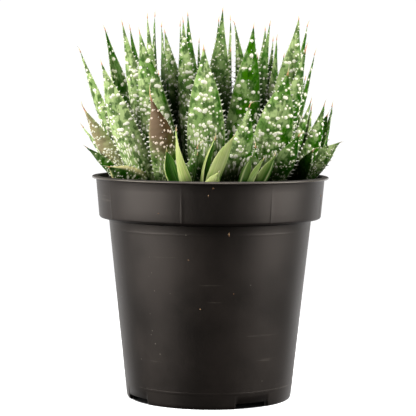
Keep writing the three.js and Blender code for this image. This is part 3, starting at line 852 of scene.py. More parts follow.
WARM_SHINE = (1, 0.88, 0.79, 1)
LEAF = finish_material("waxy_leaf", leaf_skin, Specular_IOR_Level=0.01)
FLECK = finish_material("cream_fleck", fleck_skin, Specular_IOR_Level=0.03)
TOOTH = finish_material("horny_tooth", tooth_skin, Specular_IOR_Level=0.1)
BRISTLE = finish_material("dry_bristle", bristle_skin, Specular_IOR_Level=0.25)
PUP = finish_material("smooth_pup_leaf", pup_skin, Specular_IOR_Level=0.06)
POT = finish_material("satin_pot_plastic", pot_skin, Specular_IOR_Level=0.75, Specular_Tint=WARM_SHINE)
PEAT = finish_material("dark_peat", mix_skin, Specular_IOR_Level=0.2)
BARK = finish_material("bark_chip", chip_skin, Specular_IOR_Level=0.2)
CRUMB = finish_material("dry_crumb", crumb_skin, Specular_IOR_Level=0.2)
ROSETTE_FINISHES = [LEAF, FLECK, TOOTH, BRISTLE]
SKIN_FINISH, FLECK_FINISH, TOOTH_FINISH, BRISTLE_FINISH = range(4)


# ---------- leaves ----------
@dataclass(frozen=True)
class Leaf:
    """A leaf's midrib runs on a quadratic curve base, knee, tip; its back faces outward at the base
    and has turned by twist, in radians, at the tip."""

    base: np.ndarray
    knee: np.ndarray
    tip: np.ndarray
    outward: np.ndarray
    crown: np.ndarray
    width: float
    look: Look
    twist: float
    hidden: bool

    @property
    def length(self):
        """The straight distance from base to tip."""
        return float(np.linalg.norm(self.tip - self.base))


def rooted(row, crown, hidden=False):
    """The leaf of a row. Leaves that lean far start low on their crown. A hidden one stands behind
    others, and its lower half is painted dark as their shade."""
    bearing, root_x, root_y, tip_x, tip_y, tip_z, width, bow = row[:8]
    look, sway, twist = (*row[8:], *("banded", 0.0, 0.0)[len(row) - 8 :])
    outward = pointing(bearing)
    lean = min(1.0, math.hypot(tip_x - root_x, tip_y - root_y) / (tip_z - SOIL_EDGE_HEIGHT))
    base = np.array([root_x, root_y, SOIL_EDGE_HEIGHT + ROOT_HEIGHT - ROOT_DROP * lean])
    tip = np.array([tip_x, tip_y, tip_z], float)
    chord = unit(tip - base)
    bulge = unit(outward - chord * (outward @ chord))
    knee = base + (tip - base) * KNEE_SHARE + bulge * 2 * bow + np.cross(bulge, chord) * 2 * sway
    stem = np.array([*crown, SOIL_EDGE_HEIGHT - CROWN_DEPTH])
    return Leaf(base, knee, tip, outward, stem, width, LOOKS[look], math.radians(twist), hidden)


def midrib(leaf, along):
    """Centre and frame (forward, outward, across) at shares of the length.

    Above 0 the centre follows the quadratic curve. Below 0 it goes straight down into the crown.
    """
    share = np.clip(along, 0, 1)[..., None]
    below = np.minimum(along, 0)[..., None] * leaf.length
    sheath = unit(leaf.base - leaf.crown + np.array([0, 0, SHEATH_RISE]))
    centre = quadratic(leaf.base, leaf.knee, leaf.tip, share)
    forward = unit((leaf.knee - leaf.base) * (1 - share) + (leaf.tip - leaf.knee) * share)
    outward = unit(leaf.outward - forward * (forward @ leaf.outward)[..., None])
    turn = leaf.twist * share
    outward = outward * np.cos(turn) + np.cross(forward, outward) * np.sin(turn)
    return centre + sheath * below, forward, outward, unit(np.cross(outward, forward))


def half_width(leaf, along):
    """Half the width there: a sine that closes at the tip, drawn in at the base, with a fine scallop.

    Slender leaves narrow over more of their length than stout ones, and all are drawn out to a point.
    """
    share = np.clip(along, 0, 1)
    narrowing = float(np.clip(0.92 - 1.25 * leaf.width / leaf.length, 0.56, 0.78))
    taper = np.sin(np.pi / 2 * np.minimum(1, (1 - share) / narrowing) ** 0.9)
    taper = taper * (0.6 + 0.4 * smooth(0, 0.28, 1 - share))
    scallop = 1 + 0.014 * np.cos(2 * np.pi * share * leaf.length / TOOTH_SPACING) * leaf.look.toothed
    sheath = 1 + 2.2 * np.minimum(along, 0)
    return 0.5 * leaf.width * taper * (0.8 + 0.2 * smooth(0, 0.28, share)) * scallop * sheath


def leaf_point(leaf, along, side, depth):
    """A point of the leaf: side -1 to 1 between the margins, depth 0 on the inner face, 1 on the back.

    The inner face is a channel that flattens towards the tip, the back a rounded keel above it.
    """
    centre, _, outward, across = midrib(leaf, along)
    half = half_width(leaf, along)
    cupping = 0.34 - 0.26 * smooth(0, 0.6, along)
    spare = 0.7 * (1 - smooth(0.92, 1.0, along))
    thickness = np.maximum(spare, 2 * half * THICKNESS_SHARE) * np.maximum(0, 1 - side**2) ** 0.7
    lift = thickness * depth - cupping * half * side**2
    return centre + across * (half * side)[..., None] + outward * lift[..., None]


def leaf_normal(leaf, along, side, depth):
    """The way the surface faces: the cross product of its two slopes, away from the leaf's middle."""
    step = 0.004
    up = leaf_point(leaf, along + step, side, depth) - leaf_point(leaf, along - step, side, depth)
    over = leaf_point(leaf, along, side + step, depth) - leaf_point(leaf, along, side - step, depth)
    normal = unit(np.cross(up, over))
    away = midrib(leaf, along)[2] * (2 * depth - 1)[..., None]
    return normal * np.sign(np.einsum("...i,...i->...", normal, away))[..., None]


def painted_shade_depth(points):
    """How much painted shade a point gets for lying deep in the clump: 0 at its outside and top, 1 low
    among the leaves.

    The outside is an ellipse seen from above, which widens with the height above the mix. Close above
    the mix the painted shade reaches the outside too, higher in the middle and at the right.
    """
    up = points[..., 2] - SOIL_EDGE_HEIGHT
    across = points[..., 0] / (CLUMP_HALF_WIDTH + 0.25 * up)
    inward = (points[..., 1] - CLUMP_MIDDLE) / (CLUMP_HALF_DEPTH + 0.18 * up)
    out = np.hypot(across, inward)
    inside = smooth(0.94, 0.62, out) * smooth(80, 46, up)
    near_mix = 0.92 * smooth(27, 13, up) * smooth(-18, -6, points[..., 0])
    return np.maximum(inside, np.maximum(near_mix, 0.75 * smooth(17, 6, up)))


def leaf_painted_shade(leaf, points, along):
    """The painted shade of the place, or that of the leaves in front where it is more."""
    return np.maximum(painted_shade_depth(points), 0.96 * leaf.hidden * smooth(0.62, 0.36, along))


def flat_place(leaf, along, side):
    """Where a point lies on the leaf laid flat: millimetres across and along."""
    return side * half_width(leaf, along), along * leaf.length


def flush_share(look, along, side):
    """How purple-brown the leaf is there: more towards the tip, from a line that is higher at the
    margins."""
    return look.flush * smooth(look.flush_from, look.flush_from + 0.34, along - 0.08 * side**2)


def gold_share(look, along, side):
    """How yellow it is: on the margins, away from the base."""
    return look.gold * smooth(0.7, 0.95, np.abs(side)) * smooth(0.2, 0.6, along)


def low_share(look, along, side):
    """How near the base it is, where the flecks are greener: the same for every look and side."""
    return smooth(0.42, 0.12, along)


FLECK_VALUES = {"flush": flush_share, "gold": gold_share, "low": low_share}


def row_shares(leaf):
    """Where along the leaf the rows of flecks lie: the look's step apart near the tip, half of it on
    the lower third."""
    shares = np.linspace(0.03, 0.95, 240)
    pace = leaf.length / (leaf.look.row_step * (0.5 + 0.5 * smooth(0.35, 0.8, shares)))
    passed = np.cumsum(pace) * (shares[1] - shares[0])
    return np.interp(np.arange(0.5, passed[-1]), passed, shares)


def fleck_rows(leaf, rng, inner):
    """Places (along, side) and half sizes (across, along) of the flecks on one face.

    Each row is a shallow arch with a wave in it. High on the leaf the flecks touch in runs with bare
    places between them, low down they are narrow and drawn out.
    """
    look = leaf.look
    keep = look.inner_keep if inner else look.keep
    found = [np.zeros((0, 4))]
    for row in row_shares(leaf):
        low = 1 - smooth(0.3, 0.62, row)
        usable = 2 * half_width(leaf, np.array(row)) * FLECKED_SHARE
        count = max(1, int(round(usable / (look.spacing * (0.8 - 0.12 * low)))))
        side = (np.arange(count) + 0.5 + rng.uniform(-0.35, 0.35, count)) / count * 2 - 1
        wave = np.sin(2.6 * side + rng.uniform(0, 2 * np.pi))
        stray = rng.normal(0, 0.45 + 0.35 * low, count)
        stray = stray + (rng.random(count) < 0.16) * rng.uniform(-2, 2, count)
        along = row + (stray + (wave + 1.2 * side**2) * (1 - 0.7 * low)) / leaf.length
        size = look.fleck * rng.uniform(0.42, 1.12, count) * (1 - 0.4 * smooth(0.8, 1.0, row))
        wide = size * (1 - 0.55 * low) * np.where(rng.random(count) < 0.3 * (1 - low), 1.4, 1.0)
        long = size * (0.95 + 0.6 * low * rng.uniform(0.2, 1.8, count))
        run = np.sin(rng.uniform(2.2, 4.0) * side + rng.uniform(0, 2 * np.pi)) + 0.55
        fullness = low + (1 - low) * smooth(-0.1, 0.5, run)
        chosen = rng.random(count) < (keep + 0.1 - 0.2 * low) * fullness * (keep > 0)
        found.append(np.stack([along, side * FLECKED_SHARE, wide, long], -1)[chosen])
    return np.concatenate(found)


def dome_template():
    """A low lens of two rings and two poles: columns across, along, height; and its faces."""
    across, along = circle(DOME_SIDES)
    ring = lambda r, h: np.hstack([r * across, r * along, np.full((DOME_SIDES, 1), h)])
    points = np.vstack([ring(0.62, 0.78), ring(1.0, -0.15), [[0, 0, 1.0]], [[0, 0, -1.6]]])
    here = np.arange(DOME_SIDES)
    after = (here + 1) % DOME_SIDES
    top_pole = np.full(DOME_SIDES, 2 * DOME_SIDES)
    foot_pole = top_pole + 1
    quads = np.stack([here, here + DOME_SIDES, after + DOME_SIDES, after], -1)
    top = np.stack([here, after, top_pole], -1)
    bottom = np.stack([after + DOME_SIDES, here + DOME_SIDES, foot_pole], -1)
    return points, [quads, top, bottom]


def repeated(faces, count, points_each):
    """The faces of count copies of one template."""
    shift = np.arange(count)[:, None, None] * points_each
    return [(group[None] + shift).reshape(-1, group.shape[1]) for group in faces]


def add_flecks(surfaces, leaf, places, depth):
    """A dome on the face at each place. It follows the leaf's curve, because its outline is laid out in
    the leaf's own along and side, and it rises along the face's normal."""
    if not len(places):
        return
    template, faces = dome_template()
    along, side, wide, long = (places[:, k, None] for k in range(4))
    half = np.maximum(0.6, half_width(leaf, along))
    at_along = along + template[None, :, 1] * long / leaf.length
    at_side = np.clip(side + template[None, :, 0] * wide / half, -0.97, 0.97)
    depths = np.full(at_along.shape, depth)
    rise = template[None, :, 2] * FLECK_HEIGHT * np.sqrt(wide / 0.8)
    points = leaf_point(leaf, at_along, at_side, depths)
    points = points + leaf_normal(leaf, at_along, at_side, depths) * rise[..., None]
    values = {key: share(leaf.look, at_along, at_side).ravel() for key, share in FLECK_VALUES.items()}
    values["pale"] = np.tile(np.clip(0.35 + 0.65 * template[:, 2], 0, 1), len(places))
    # painted shade, as on the skin beneath
    values["shade"] = leaf_painted_shade(leaf, points, at_along).ravel()
    faces = repeated(faces, len(places), len(template))
    surfaces.add(points.reshape(-1, 3), faces, FLECK_FINISH, **values)


@dataclass(frozen=True)
class Horn:
    """A kind of tooth: its rings by their share of its length, which is below 0 inside the leaf, and
    half width. A ring is flatness times as thick as wide, and the end leans to the leaf's tip."""

    shares: tuple
    half_widths: tuple
    flatness: float
    lean: float


MARGIN_TOOTH = Horn((-0.25, 0.35, 0.72, 1.0), (0.75, 0.555, 0.315, 0.0375), 0.38 / 0.75, 0.42)
KEEL_TOOTH = Horn((-0.4, 0.5, 1.0), (0.3, 0.16, 0.02), 1.0, 0.5)


def add_horns(surfaces, leaf, horn, along, root, toward, size, girth):
    """Curved teeth: a ring carried from each root while it shrinks to a point. Its middle is at
    root + toward s size + forward lean s^2 size, where s is the share of the length."""
    forward = midrib(leaf, along)[1]
    cosine, sine = circle(TOOTH_SIDES)
    share = np.array(horn.shares)
    spine = root[:, None] + toward[:, None] * (size[:, None] * share)[..., None]
    lean = horn.lean * size[:, None] * np.maximum(0, share) ** 2
    spine = spine + forward[:, None] * lean[..., None]
    over = np.cross(toward, forward) * horn.flatness
    ring = forward[:, None, None] * cosine + over[:, None, None] * sine
    half_width_there = girth[:, None] * np.array(horn.half_widths)
    points = spine[:, :, None] + ring * half_width_there[..., None, None]
    caps = [points[:, 0].mean(1, keepdims=True), points[:, -1].mean(1, keepdims=True)]
    each = np.concatenate([points.reshape(len(along), -1, 3), *caps], 1)
    faces = repeated(capped_tube(points[0])[1], len(along), each.shape[1])
    pale = np.append(np.repeat(share.clip(0), TOOTH_SIDES), [0, 1])
    # painted shade, as on the skin beneath
    shade = leaf_painted_shade(leaf, each, along[:, None]).ravel()
    surfaces.add(each.reshape(-1, 3), faces, TOOTH_FINISH, pale=np.tile(pale, len(along)), shade=shade)


def add_margin_teeth(surfaces, leaf, rng):
    """Teeth at an even spacing down both margins, longest where the leaf is broad and short near its
    base."""
    stations = np.arange(0.08 * leaf.length, 0.975 * leaf.length, TOOTH_SPACING)
    count = len(stations)
    for edge in (-1.0, 1.0):
        along = (stations + rng.normal(0, 0.22, count)) / leaf.length
        size = TOOTH_LENGTH * (0.42 + half_width(leaf, along) / leaf.width)
        size = size * rng.uniform(0.75, 1.15, count) * (0.3 + 0.7 * smooth(0.1, 0.45, along))
        _, _, outward, across = midrib(leaf, along)
        toward = unit(across * edge + outward * rng.normal(0.0, 0.15, count)[:, None])
        root = leaf_point(leaf, along, np.full(count, edge * 0.97), np.full(count, 0.35))
        add_horns(surfaces, leaf, MARGIN_TOOTH, along, root, toward, size, size / TOOTH_LENGTH)


def add_keel_teeth(surfaces, leaf, rng):
    """A few small teeth that stand on the back itself, near the tip."""
    along = np.arange(0.62, 0.94, KEEL_TOOTH_SPACING / leaf.length)
    count = len(along)
    side = rng.normal(0, 0.12, count)
    size = TOOTH_LENGTH * 0.55 * rng.uniform(0.7, 1.1, count)
    root = leaf_point(leaf, along, side, np.ones(count))
    toward = leaf_normal(leaf, along, side, np.ones(count))
    add_horns(surfaces, leaf, KEEL_TOOTH, along, root, toward, size, np.ones(count))


def add_bristle(surfaces, leaf, length, bend, amount):
    """A dry awn: a round section carried from the leaf's tip along a parabola that bends one way."""
    _, forward, _, _ = midrib(leaf, np.array(1.0))
    bend = np.asarray(bend, float)
    sideways = unit(bend - forward * (forward @ bend))
    share = np.linspace(0, 1, 9)[:, None]
    reach = (length + BRISTLE_ROOT) * share * (1 - 0.5 * amount * share)
    path = leaf.tip - forward * BRISTLE_ROOT + forward * reach + sideways * (length * amount * share**2)
    radius = 0.05 + 0.27 * (1 - share) ** 1.3
    cosine, sine = circle(BRISTLE_SIDES)
    heading = unit(np.gradient(path, axis=0))
    first = unit(np.cross(heading, sideways + 0.3 * forward))
    second = np.cross(heading, first)
    ring = first[:, None] * cosine + second[:, None] * sine
    points, faces = capped_tube(path[:, None] + ring * radius[:, None])
    dry = np.append(np.repeat(share, BRISTLE_SIDES), [0, 1])
    surfaces.add(points, faces, BRISTLE_FINISH, dry=dry)


def leaf_sections(rows):
    """The grid over a leaf: its shares of the length, its sides, and 1 on the back or 0 on the inner
    face. The sides go once round the section, closer together at the margins."""
    blade = np.linspace(0, 0.9, rows - TIP_ROWS - 2)
    along = np.concatenate([[-0.11, -0.06], blade, np.linspace(0.9, 0.992, TIP_ROWS + 1)[1:]])
    back = -np.cos(np.linspace(0, np.pi, BACK_COLUMNS + 1))
    inner = np.cos(np.linspace(0, np.pi, INNER_COLUMNS + 1))[1:-1]
    s, t = np.meshgrid(along, np.concatenate([back, inner]), indexing="ij")
    return s, t, np.broadcast_to(np.append(np.ones(len(back)), np.zeros(len(inner))), s.shape)


def halo(leaf, s, t, flecks):
    """The sum of a bell curve round each fleck, a little wider than the fleck itself."""
    over, up = flat_place(leaf, s, t)
    fleck_over, fleck_up = flat_place(leaf, flecks[:, 0], flecks[:, 1])
    reach = np.maximum(flecks[:, 2:], 0.3) + HALO_REACH
    across = (over[..., None] - fleck_over) / reach[:, 0]
    along = (up[..., None] - fleck_up) / reach[:, 1]
    return np.exp(-(across**2 + along**2)).sum(-1)


def skin_values(leaf, s, t, d, points, halos, tone, dry_from):
    """What the finish reads at each point of a leaf's grid, mostly as shares from 0 to 1.

    s, t and d are along, side and depth. The skin is paler in the halos of the flecks, or on the keel
    of a smooth leaf. Painted shade makes it deeper green near the base and where it faces away from
    the light, and darker deep in the clump; painted sheen blooms it where it faces the light.
    """
    look = leaf.look
    # painted light: sheen where the skin faces the light, shade where it faces away
    toward_light = smooth(-0.5, 0.6, leaf_normal(leaf, s, t, d) @ LIGHT_SIDE)
    low, flush = low_share(look, s, t), flush_share(look, s, t)
    pale = smooth(0.4, 1.3, halos) * (1 - 0.4 * flush) * (1 - 0.55 * low)
    keel = 0.45 * smooth(0.22, 0.0, np.abs(t)) * d
    deep = look.deep - tone * 0.5 + 0.55 * (1 - toward_light) + 0.75 * smooth(0.5, 0.12, s) - 0.1
    return {
        "pale": pale if look.toothed else keel,
        "inner": 1 - d,
        "edge": 0.3 * smooth(0.93, 0.995, np.abs(t)) * smooth(0.0, 0.1, s),
        "dry": smooth(dry_from, min(1.0, dry_from + 0.035), s),
        "flush": flush,
        "grey": look.grey * smooth(0.1, 0.55, s) * (1 - 0.5 * t**2),
        "gold": gold_share(look, s, t),
        "deep": np.clip(deep, 0, 1),
        "bloom": look.bloom + tone + 0.6 * smooth(0.1, 0.6, s) + 0.9 * toward_light - 0.75 - look.deep,
        "shade": leaf_painted_shade(leaf, points, s),
    }


def add_leaf(surfaces, leaf, rng, bristle, rows=LEAF_ROWS):
    """One leaf: its closed shell, then its flecks, teeth and bristle, which is given as its length, the
    way its end bends and how far."""
    tone = rng.uniform(-0.35, 0.45)
    dry_from = leaf.look.dry_from + rng.uniform(-0.012, 0.008)
    back_flecks = fleck_rows(leaf, rng, inner=False)
    inner_flecks = fleck_rows(leaf, rng, inner=True)
    s, t, d = leaf_sections(rows)
    grid = leaf_point(leaf, s, t, d)
    points, faces = capped_tube(grid)
    points[-1] = leaf.tip
    halos = halo(leaf, s, t, back_flecks) * (d == 1) + halo(leaf, s, t, inner_flecks) * (d == 0)
    values = skin_values(leaf, s, t, d, grid, halos, tone, dry_from)
    values = {key: np.append(v.ravel(), [v[0].mean(), v[-1].mean()]) for key, v in values.items()}
    over, up = flat_place(leaf, s, t)
    place = np.stack([over + 40 * tone, up, 10 * tone + 30 * (1 - d)], -1).reshape(-1, 3)
    place = np.vstack([place, place[:1], place[-1:]])
    surfaces.add(points, faces, SKIN_FINISH, leaf_place=place, **values)
    add_flecks(surfaces, leaf, back_flecks, 1.0)
    add_flecks(surfaces, leaf, inner_flecks, 0.0)
    if leaf.look.toothed:
        add_margin_teeth(surfaces, leaf, rng)
        add_keel_teeth(surfaces, leaf, rng)
    add_bristle(surfaces, leaf, *bristle)


def spreading_row(head, bearing, root, reach, height, *rest):
    """A leaf row that leaves the middle of the crown at a bearing: root and reach are how far out its
    base and its tip are."""
    out = pointing(bearing)[:2]
    return (bearing, *(head["at"] + root * out), *(head["at"] + reach * out), height, *rest)


def ring_rows(head):
    """Leaf rows at even bearings, long and upright ones in turn with short and spreading ones."""
    ring = head["ring"]
    for i in range(ring["count"]):
        bearing = ring["start"] + (ring["end"] - ring["start"]) * (i + 0.5) / ring["count"]
        lean = math.radians(ring["lean"] * (0.7 if i % 2 else 1.15))
        length = ring["length"] * (1 if i % 2 else 0.88)
        root = head["crown"] * (0.35 + 0.4 * math.sin(lean))
        reach = root + length * math.sin(lean)
        height = SOIL_EDGE_HEIGHT + 4 + length * math.cos(lean)
        yield spreading_row(head, bearing, root, reach, height, ring["width"], ring["bow"])


def heart_rows(head, rng):
    """Young leaves round the middle of the crown, each turned by about the golden angle from the last,
    each taller, narrower and more upright."""
    for i in range(HEART_LEAVES):
        bearing = GOLDEN_ANGLE * i + rng.uniform(0, 60)
        height = SOIL_EDGE_HEIGHT + HEART_HEIGHT + HEART_RISE * i + rng.uniform(-3, 3)
        root, reach = head["crown"] * 0.3, head["crown"] * (0.9 - 0.1 * i) + rng.uniform(0, 2)
        width = HEART_WIDTH - 0.6 * i
        yield spreading_row(head, bearing, root, reach, height, width, 1.5, "young")


def make_rosette(name, head, number):
    """All leaves of one head as one piece."""
    surfaces = Surfaces()
    rows = list(head["leaves"])
    if "ring" in head:
        rows += ring_rows(head)
    for i, row in enumerate(rows):
        rng = np.random.default_rng([LEAF_SEED, number, i])
        leaf = rooted(row, head["at"], i in BEHIND.get(name, ()))
        sway = rng.normal(0, 1, 3)
        length = PUP_BRISTLE if head.get("smooth") else rng.uniform(2.2, 3.6)
        usual = (length, sway, rng.uniform(0.1, 0.5))
        add_leaf(surfaces, leaf, rng, LONG_BRISTLES.get((name, i), usual))
    if not head.get("smooth"):
        rng = np.random.default_rng([HEART_SEED, number])
        for row in heart_rows(head, rng):
            # heart leaves stand behind the others, so their lower halves are painted dark as shade
            leaf = rooted(row, head["at"], True)
            add_leaf(surfaces, leaf, rng, (HEART_BRISTLE, rng.normal(0, 1, 3), 0.3), HEART_ROWS)
    finishes = [PUP, *ROSETTE_FINISHES[1:]] if head.get("smooth") else ROSETTE_FINISHES
    piece = surfaces.piece(name + "_leaves", finishes)
    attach(piece, "root")
    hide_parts(name)


# ---------- the pot ----------
POT_STEPS = 216
MOULD_LINE_COUNT = 8  # small stacking ribs show on the collar as upright lines
MOULD_LINE_FIRST = -14.0
MOULD_LINE_HEIGHT = 12.0
UPPER_RING_HEIGHT = 86.8
LOWER_RING_HEIGHT = 8.2
DRILL_SIDES = 32


def body_radius(height):
    """The cone's outer radius at a height between the foot and the step."""
    return FOOT_RADIUS + (BODY_TOP_RADIUS - FOOT_RADIUS) * height / BODY_TOP


def off_nearest(bearings, first, count):
    """Degrees from the nearest of count even bearings, the first of them given, from minus to plus
    half their pitch."""
    pitch = 360 / count
    return (bearings - first + pitch / 2) % pitch - pitch / 2


def pot_bearings():
    """Even bearings, with close ones at the ends of each notch and over each mould line."""
    notches = even_bearings(NOTCH_COUNT, NOTCH_FIRST_BEARING)
    corners = notches[:, None] + np.array([-NOTCH_HALF_ANGLE, NOTCH_HALF_ANGLE])
    ends = (corners[..., None] + np.array([-0.12, 0.12])).ravel()
    lines = even_bearings(MOULD_LINE_COUNT, MOULD_LINE_FIRST)
    close = (lines[:, None] + np.array([-0.5, -0.25, 0, 0.25, 0.5])).ravel()
    even = even_bearings(POT_STEPS)
    special = np.concatenate([ends, close]) % 360
    clear = np.abs((even[:, None] - special + 180) % 360 - 180).min(1) > 0.4
    return np.sort(np.concatenate([even[clear], special]))


def eased_profile(corners, steps=4):
    """A polyline with each inner corner replaced by a short parabola, which starts and ends the
    corner's third number away from it, and each long straight stretch but the last divided."""
    corners = np.array(corners, float)
    points = [corners[0, :2]]
    for before, corner, after in zip(corners, corners[1:], corners[2:]):
        here, reach = corner[:2], corner[2]
        start = here + unit(before[:2] - here) * reach
        end = here + unit(after[:2] - here) * reach
        arc = quadratic(start, here, end, np.linspace(0, 1, steps)[:, None])
        stretch = np.linalg.norm(arc[0] - points[-1])
        between = np.linspace(0, 1, max(2, int(stretch / 4.0) + 1))[1:-1, None]
        points += list(points[-1] * (1 - between) + arc[0] * between) + list(arc)
    points.append(corners[-1, :2])
    return np.array(points)


def pot_profile():
    """Corners as (radius, height, easing reach), from the underside of the floor round the outside
    and over the lip to the floor's top. Each ring is a low step out of the wall."""
    ring = lambda height, out, tall: [
        (body_radius(height - tall), height - tall, 0.06),
        (body_radius(height - tall * 0.6) + out, height - tall * 0.6, 0.06),
        (body_radius(height) + out, height, 0.06),
        (body_radius(height + 0.25), height + 0.25, 0.06),
    ]
    return [
        (0, FLOOR_UNDERSIDE, 0),
        (body_radius(FLOOR_UNDERSIDE) - WALL - 0.6, FLOOR_UNDERSIDE, 0.3),
        (FOOT_RADIUS - WALL - 1, 0, 0.25),
        (FOOT_RADIUS - 0.3, 0, 0.4),
        (body_radius(1.6), 1.6, 0.4),
        *ring(LOWER_RING_HEIGHT, 0.04, 1.3),
        *ring(UPPER_RING_HEIGHT, 0.02, 0.9),
        (BODY_TOP_RADIUS, BODY_TOP, 0.35),
        (COLLAR_BOTTOM_RADIUS - 0.6, STEP_HEIGHT, 0.5),
        (COLLAR_BOTTOM_RADIUS, STEP_HEIGHT + 0.9, 0.35),
        (COLLAR_TOP_RADIUS, LIP_UNDERSIDE, 0.35),
        (LIP_RADIUS - 0.3, LIP_UNDERSIDE, 0.25),
        (LIP_RADIUS, POT_HEIGHT - 0.6, 0.25),
        (LIP_RADIUS - 0.7, POT_HEIGHT, 0.4),
        (COLLAR_TOP_RADIUS - WALL, POT_HEIGHT, 0.5),
        (COLLAR_BOTTOM_RADIUS - WALL, STEP_HEIGHT + WALL + 1, 0.5),
        (BODY_TOP_RADIUS - WALL, STEP_HEIGHT + WALL * 0.6, 0.4),
        (body_radius(FLOOR_TOP) - WALL, FLOOR_TOP, 0.5),
        (0, FLOOR_TOP, 0),
    ]


def make_pot():
    """The profile carried round the axis. In a notch the foot's rim is lifted, over a mould line the
    collar swells by a narrow bell curve, and the wall wavers by a sine with three lobes."""
    bearings = pot_bearings()
    profile = eased_profile(pot_profile())[1:-1]
    radius, height = profile[:, 0, None], profile[:, 1, None]
    off_notch = np.abs(off_nearest(bearings, NOTCH_FIRST_BEARING, NOTCH_COUNT))
    in_notch = (off_notch < NOTCH_HALF_ANGLE) & (height < NOTCH_HEIGHT)
    lifted = np.where(in_notch, NOTCH_HEIGHT + 0.04 * height, height)
    off_line = off_nearest(bearings, MOULD_LINE_FIRST, MOULD_LINE_COUNT)
    lined = (height > STEP_HEIGHT) & (height < STEP_HEIGHT + MOULD_LINE_HEIGHT)
    lined = lined & (radius > COLLAR_BOTTOM_RADIUS - 0.2)
    swell = 0.13 * np.exp(-((off_line / 0.3) ** 2)) * lined
    waver = 0.06 * np.sin(np.radians(bearings * 3 + 40)) * smooth(20, 60, height)
    surfaces = Surfaces()
    surfaces.add(*capped_tube(turned(bearings, radius + swell + waver, lifted)))
    pot = surfaces.piece("nursery_pot", [POT])
    bore_drain_holes(pot)
    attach(pot, "root")
    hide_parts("pot")


def bore_drain_holes(pot):
    """Cuts the holes in the floor: one in the middle and one by each notch."""
    surfaces = Surfaces()
    ends = np.array([[FLOOR_UNDERSIDE - 1], [FLOOR_TOP + 1]])
    holes = [(np.zeros(3), CENTRE_HOLE_RADIUS)]
    for bearing in even_bearings(NOTCH_COUNT, NOTCH_FIRST_BEARING):
        holes.append((pointing(bearing) * DRAIN_HOLE_RING, DRAIN_HOLE_RADIUS))
    for place, radius in holes:
        tube = turned(even_bearings(DRILL_SIDES), np.full((2, 1), radius), ends)
        surfaces.add(*capped_tube(tube + place))
    drill = surfaces.piece("drill", [POT])
    cut = pot.modifiers.new("holes", "BOOLEAN")
    cut.operation, cut.object, cut.solver = "DIFFERENCE", drill, "EXACT"
    bpy.context.view_layer.update()
    evaluated = pot.evaluated_get(bpy.context.evaluated_depsgraph_get())
    bored = bpy.data.meshes.new_from_object(evaluated)
    pot.modifiers.clear()
    pot.data = bored
    bpy.data.objects.remove(drill)


# ---------- the mix ----------
SOIL_LUMPS = ((0.75, 9.0, 31), (0.4, 3.4, 32), (0.3, 1.5, 33))  # height, cell and seed of each size
SOIL_STEPS = 240
SOIL_RINGS = 50
CHIP_COUNT = 620
CHIP_REACH = 51.5  # how far from the pot's axis chips lie
GRIT_EVERY = 14  # one chip in so many is grit


def soil_height(x, y):
    """The mound, which falls to the edge's height towards the wall, with lumps of three sizes on it."""
    away = np.hypot(x, y)
    mound = SOIL_EDGE_HEIGHT - 0.5 + SOIL_MOUND * (1 - smooth(15, 50, away))
    return mound + sum(tall * lattice_noise(x, y, cell, seed) for tall, cell, seed in SOIL_LUMPS)


def make_soil():
    """A polar grid over the mound, carried on down the pot's wall to its floor."""
    bearings = even_bearings(SOIL_STEPS)
    inside = lambda height: body_radius(height) - WALL - GAP
    top_radius = COLLAR_BOTTOM_RADIUS - WALL - GAP
    side = eased_profile(
        [
            (0, FLOOR_TOP + GAP, 0),
            (inside(FLOOR_TOP), FLOOR_TOP + GAP, 0.5),
            (BODY_TOP_RADIUS - WALL - GAP, STEP_HEIGHT + WALL * 0.6, 0.4),
            (top_radius - 0.4, STEP_HEIGHT + WALL + 1.8, 0.4),
            (top_radius, SOIL_EDGE_HEIGHT - 2, 0),
        ]
    )[1:]
    wall = turned(bearings, side[:, 0, None], side[:, 1, None])
    mound = turned(bearings, np.linspace(top_radius - 0.1, 0.8, SOIL_RINGS)[:, None], 0)
    mound[..., 2] = soil_height(mound[..., 0], mound[..., 1])
    surfaces = Surfaces()
    surfaces.add(*capped_tube(np.concatenate([wall, mound])))
    soil = surfaces.piece("potting_mix", [PEAT])
    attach(soil, "root")
    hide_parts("soil")


def lump_grid(rings, columns):
    """A closed ball as a grid of latitude by longitude, without its poles."""
    lift = np.linspace(0, np.pi, rings + 2)[1:-1, None]
    cosine, sine = circle(columns)
    return np.stack([np.sin(lift) * cosine.T, np.sin(lift) * sine.T, np.cos(lift) + 0 * sine.T], -1)


def add_lump(surfaces, rng, place, axes, **values):
    """A coarse ball stretched along three axes, each point pushed in or out at random."""
    ball = lump_grid(3, 6)
    rough = rng.uniform(0.72, 1.15, ball.shape[:2] + (1,))
    points, faces = capped_tube(np.asarray(place) + (ball * rough) @ axes)
    surfaces.add(points, faces, **values)


def random_axes(rng, sizes, level):
    """Three axes of the given half sizes, turned at random round the vertical and tilted by a random
    angle with the spread level, in radians."""
    turn, tilt = rng.uniform(0, 2 * np.pi), rng.normal(0, level)
    spin = np.array([[np.cos(turn), np.sin(turn), 0], [-np.sin(turn), np.cos(turn), 0], [0, 0, 1]])
    lean = np.array([[np.cos(tilt), 0, np.sin(tilt)], [0, 1, 0], [-np.sin(tilt), 0, np.cos(tilt)]])
    return np.diag(sizes) @ lean @ spin


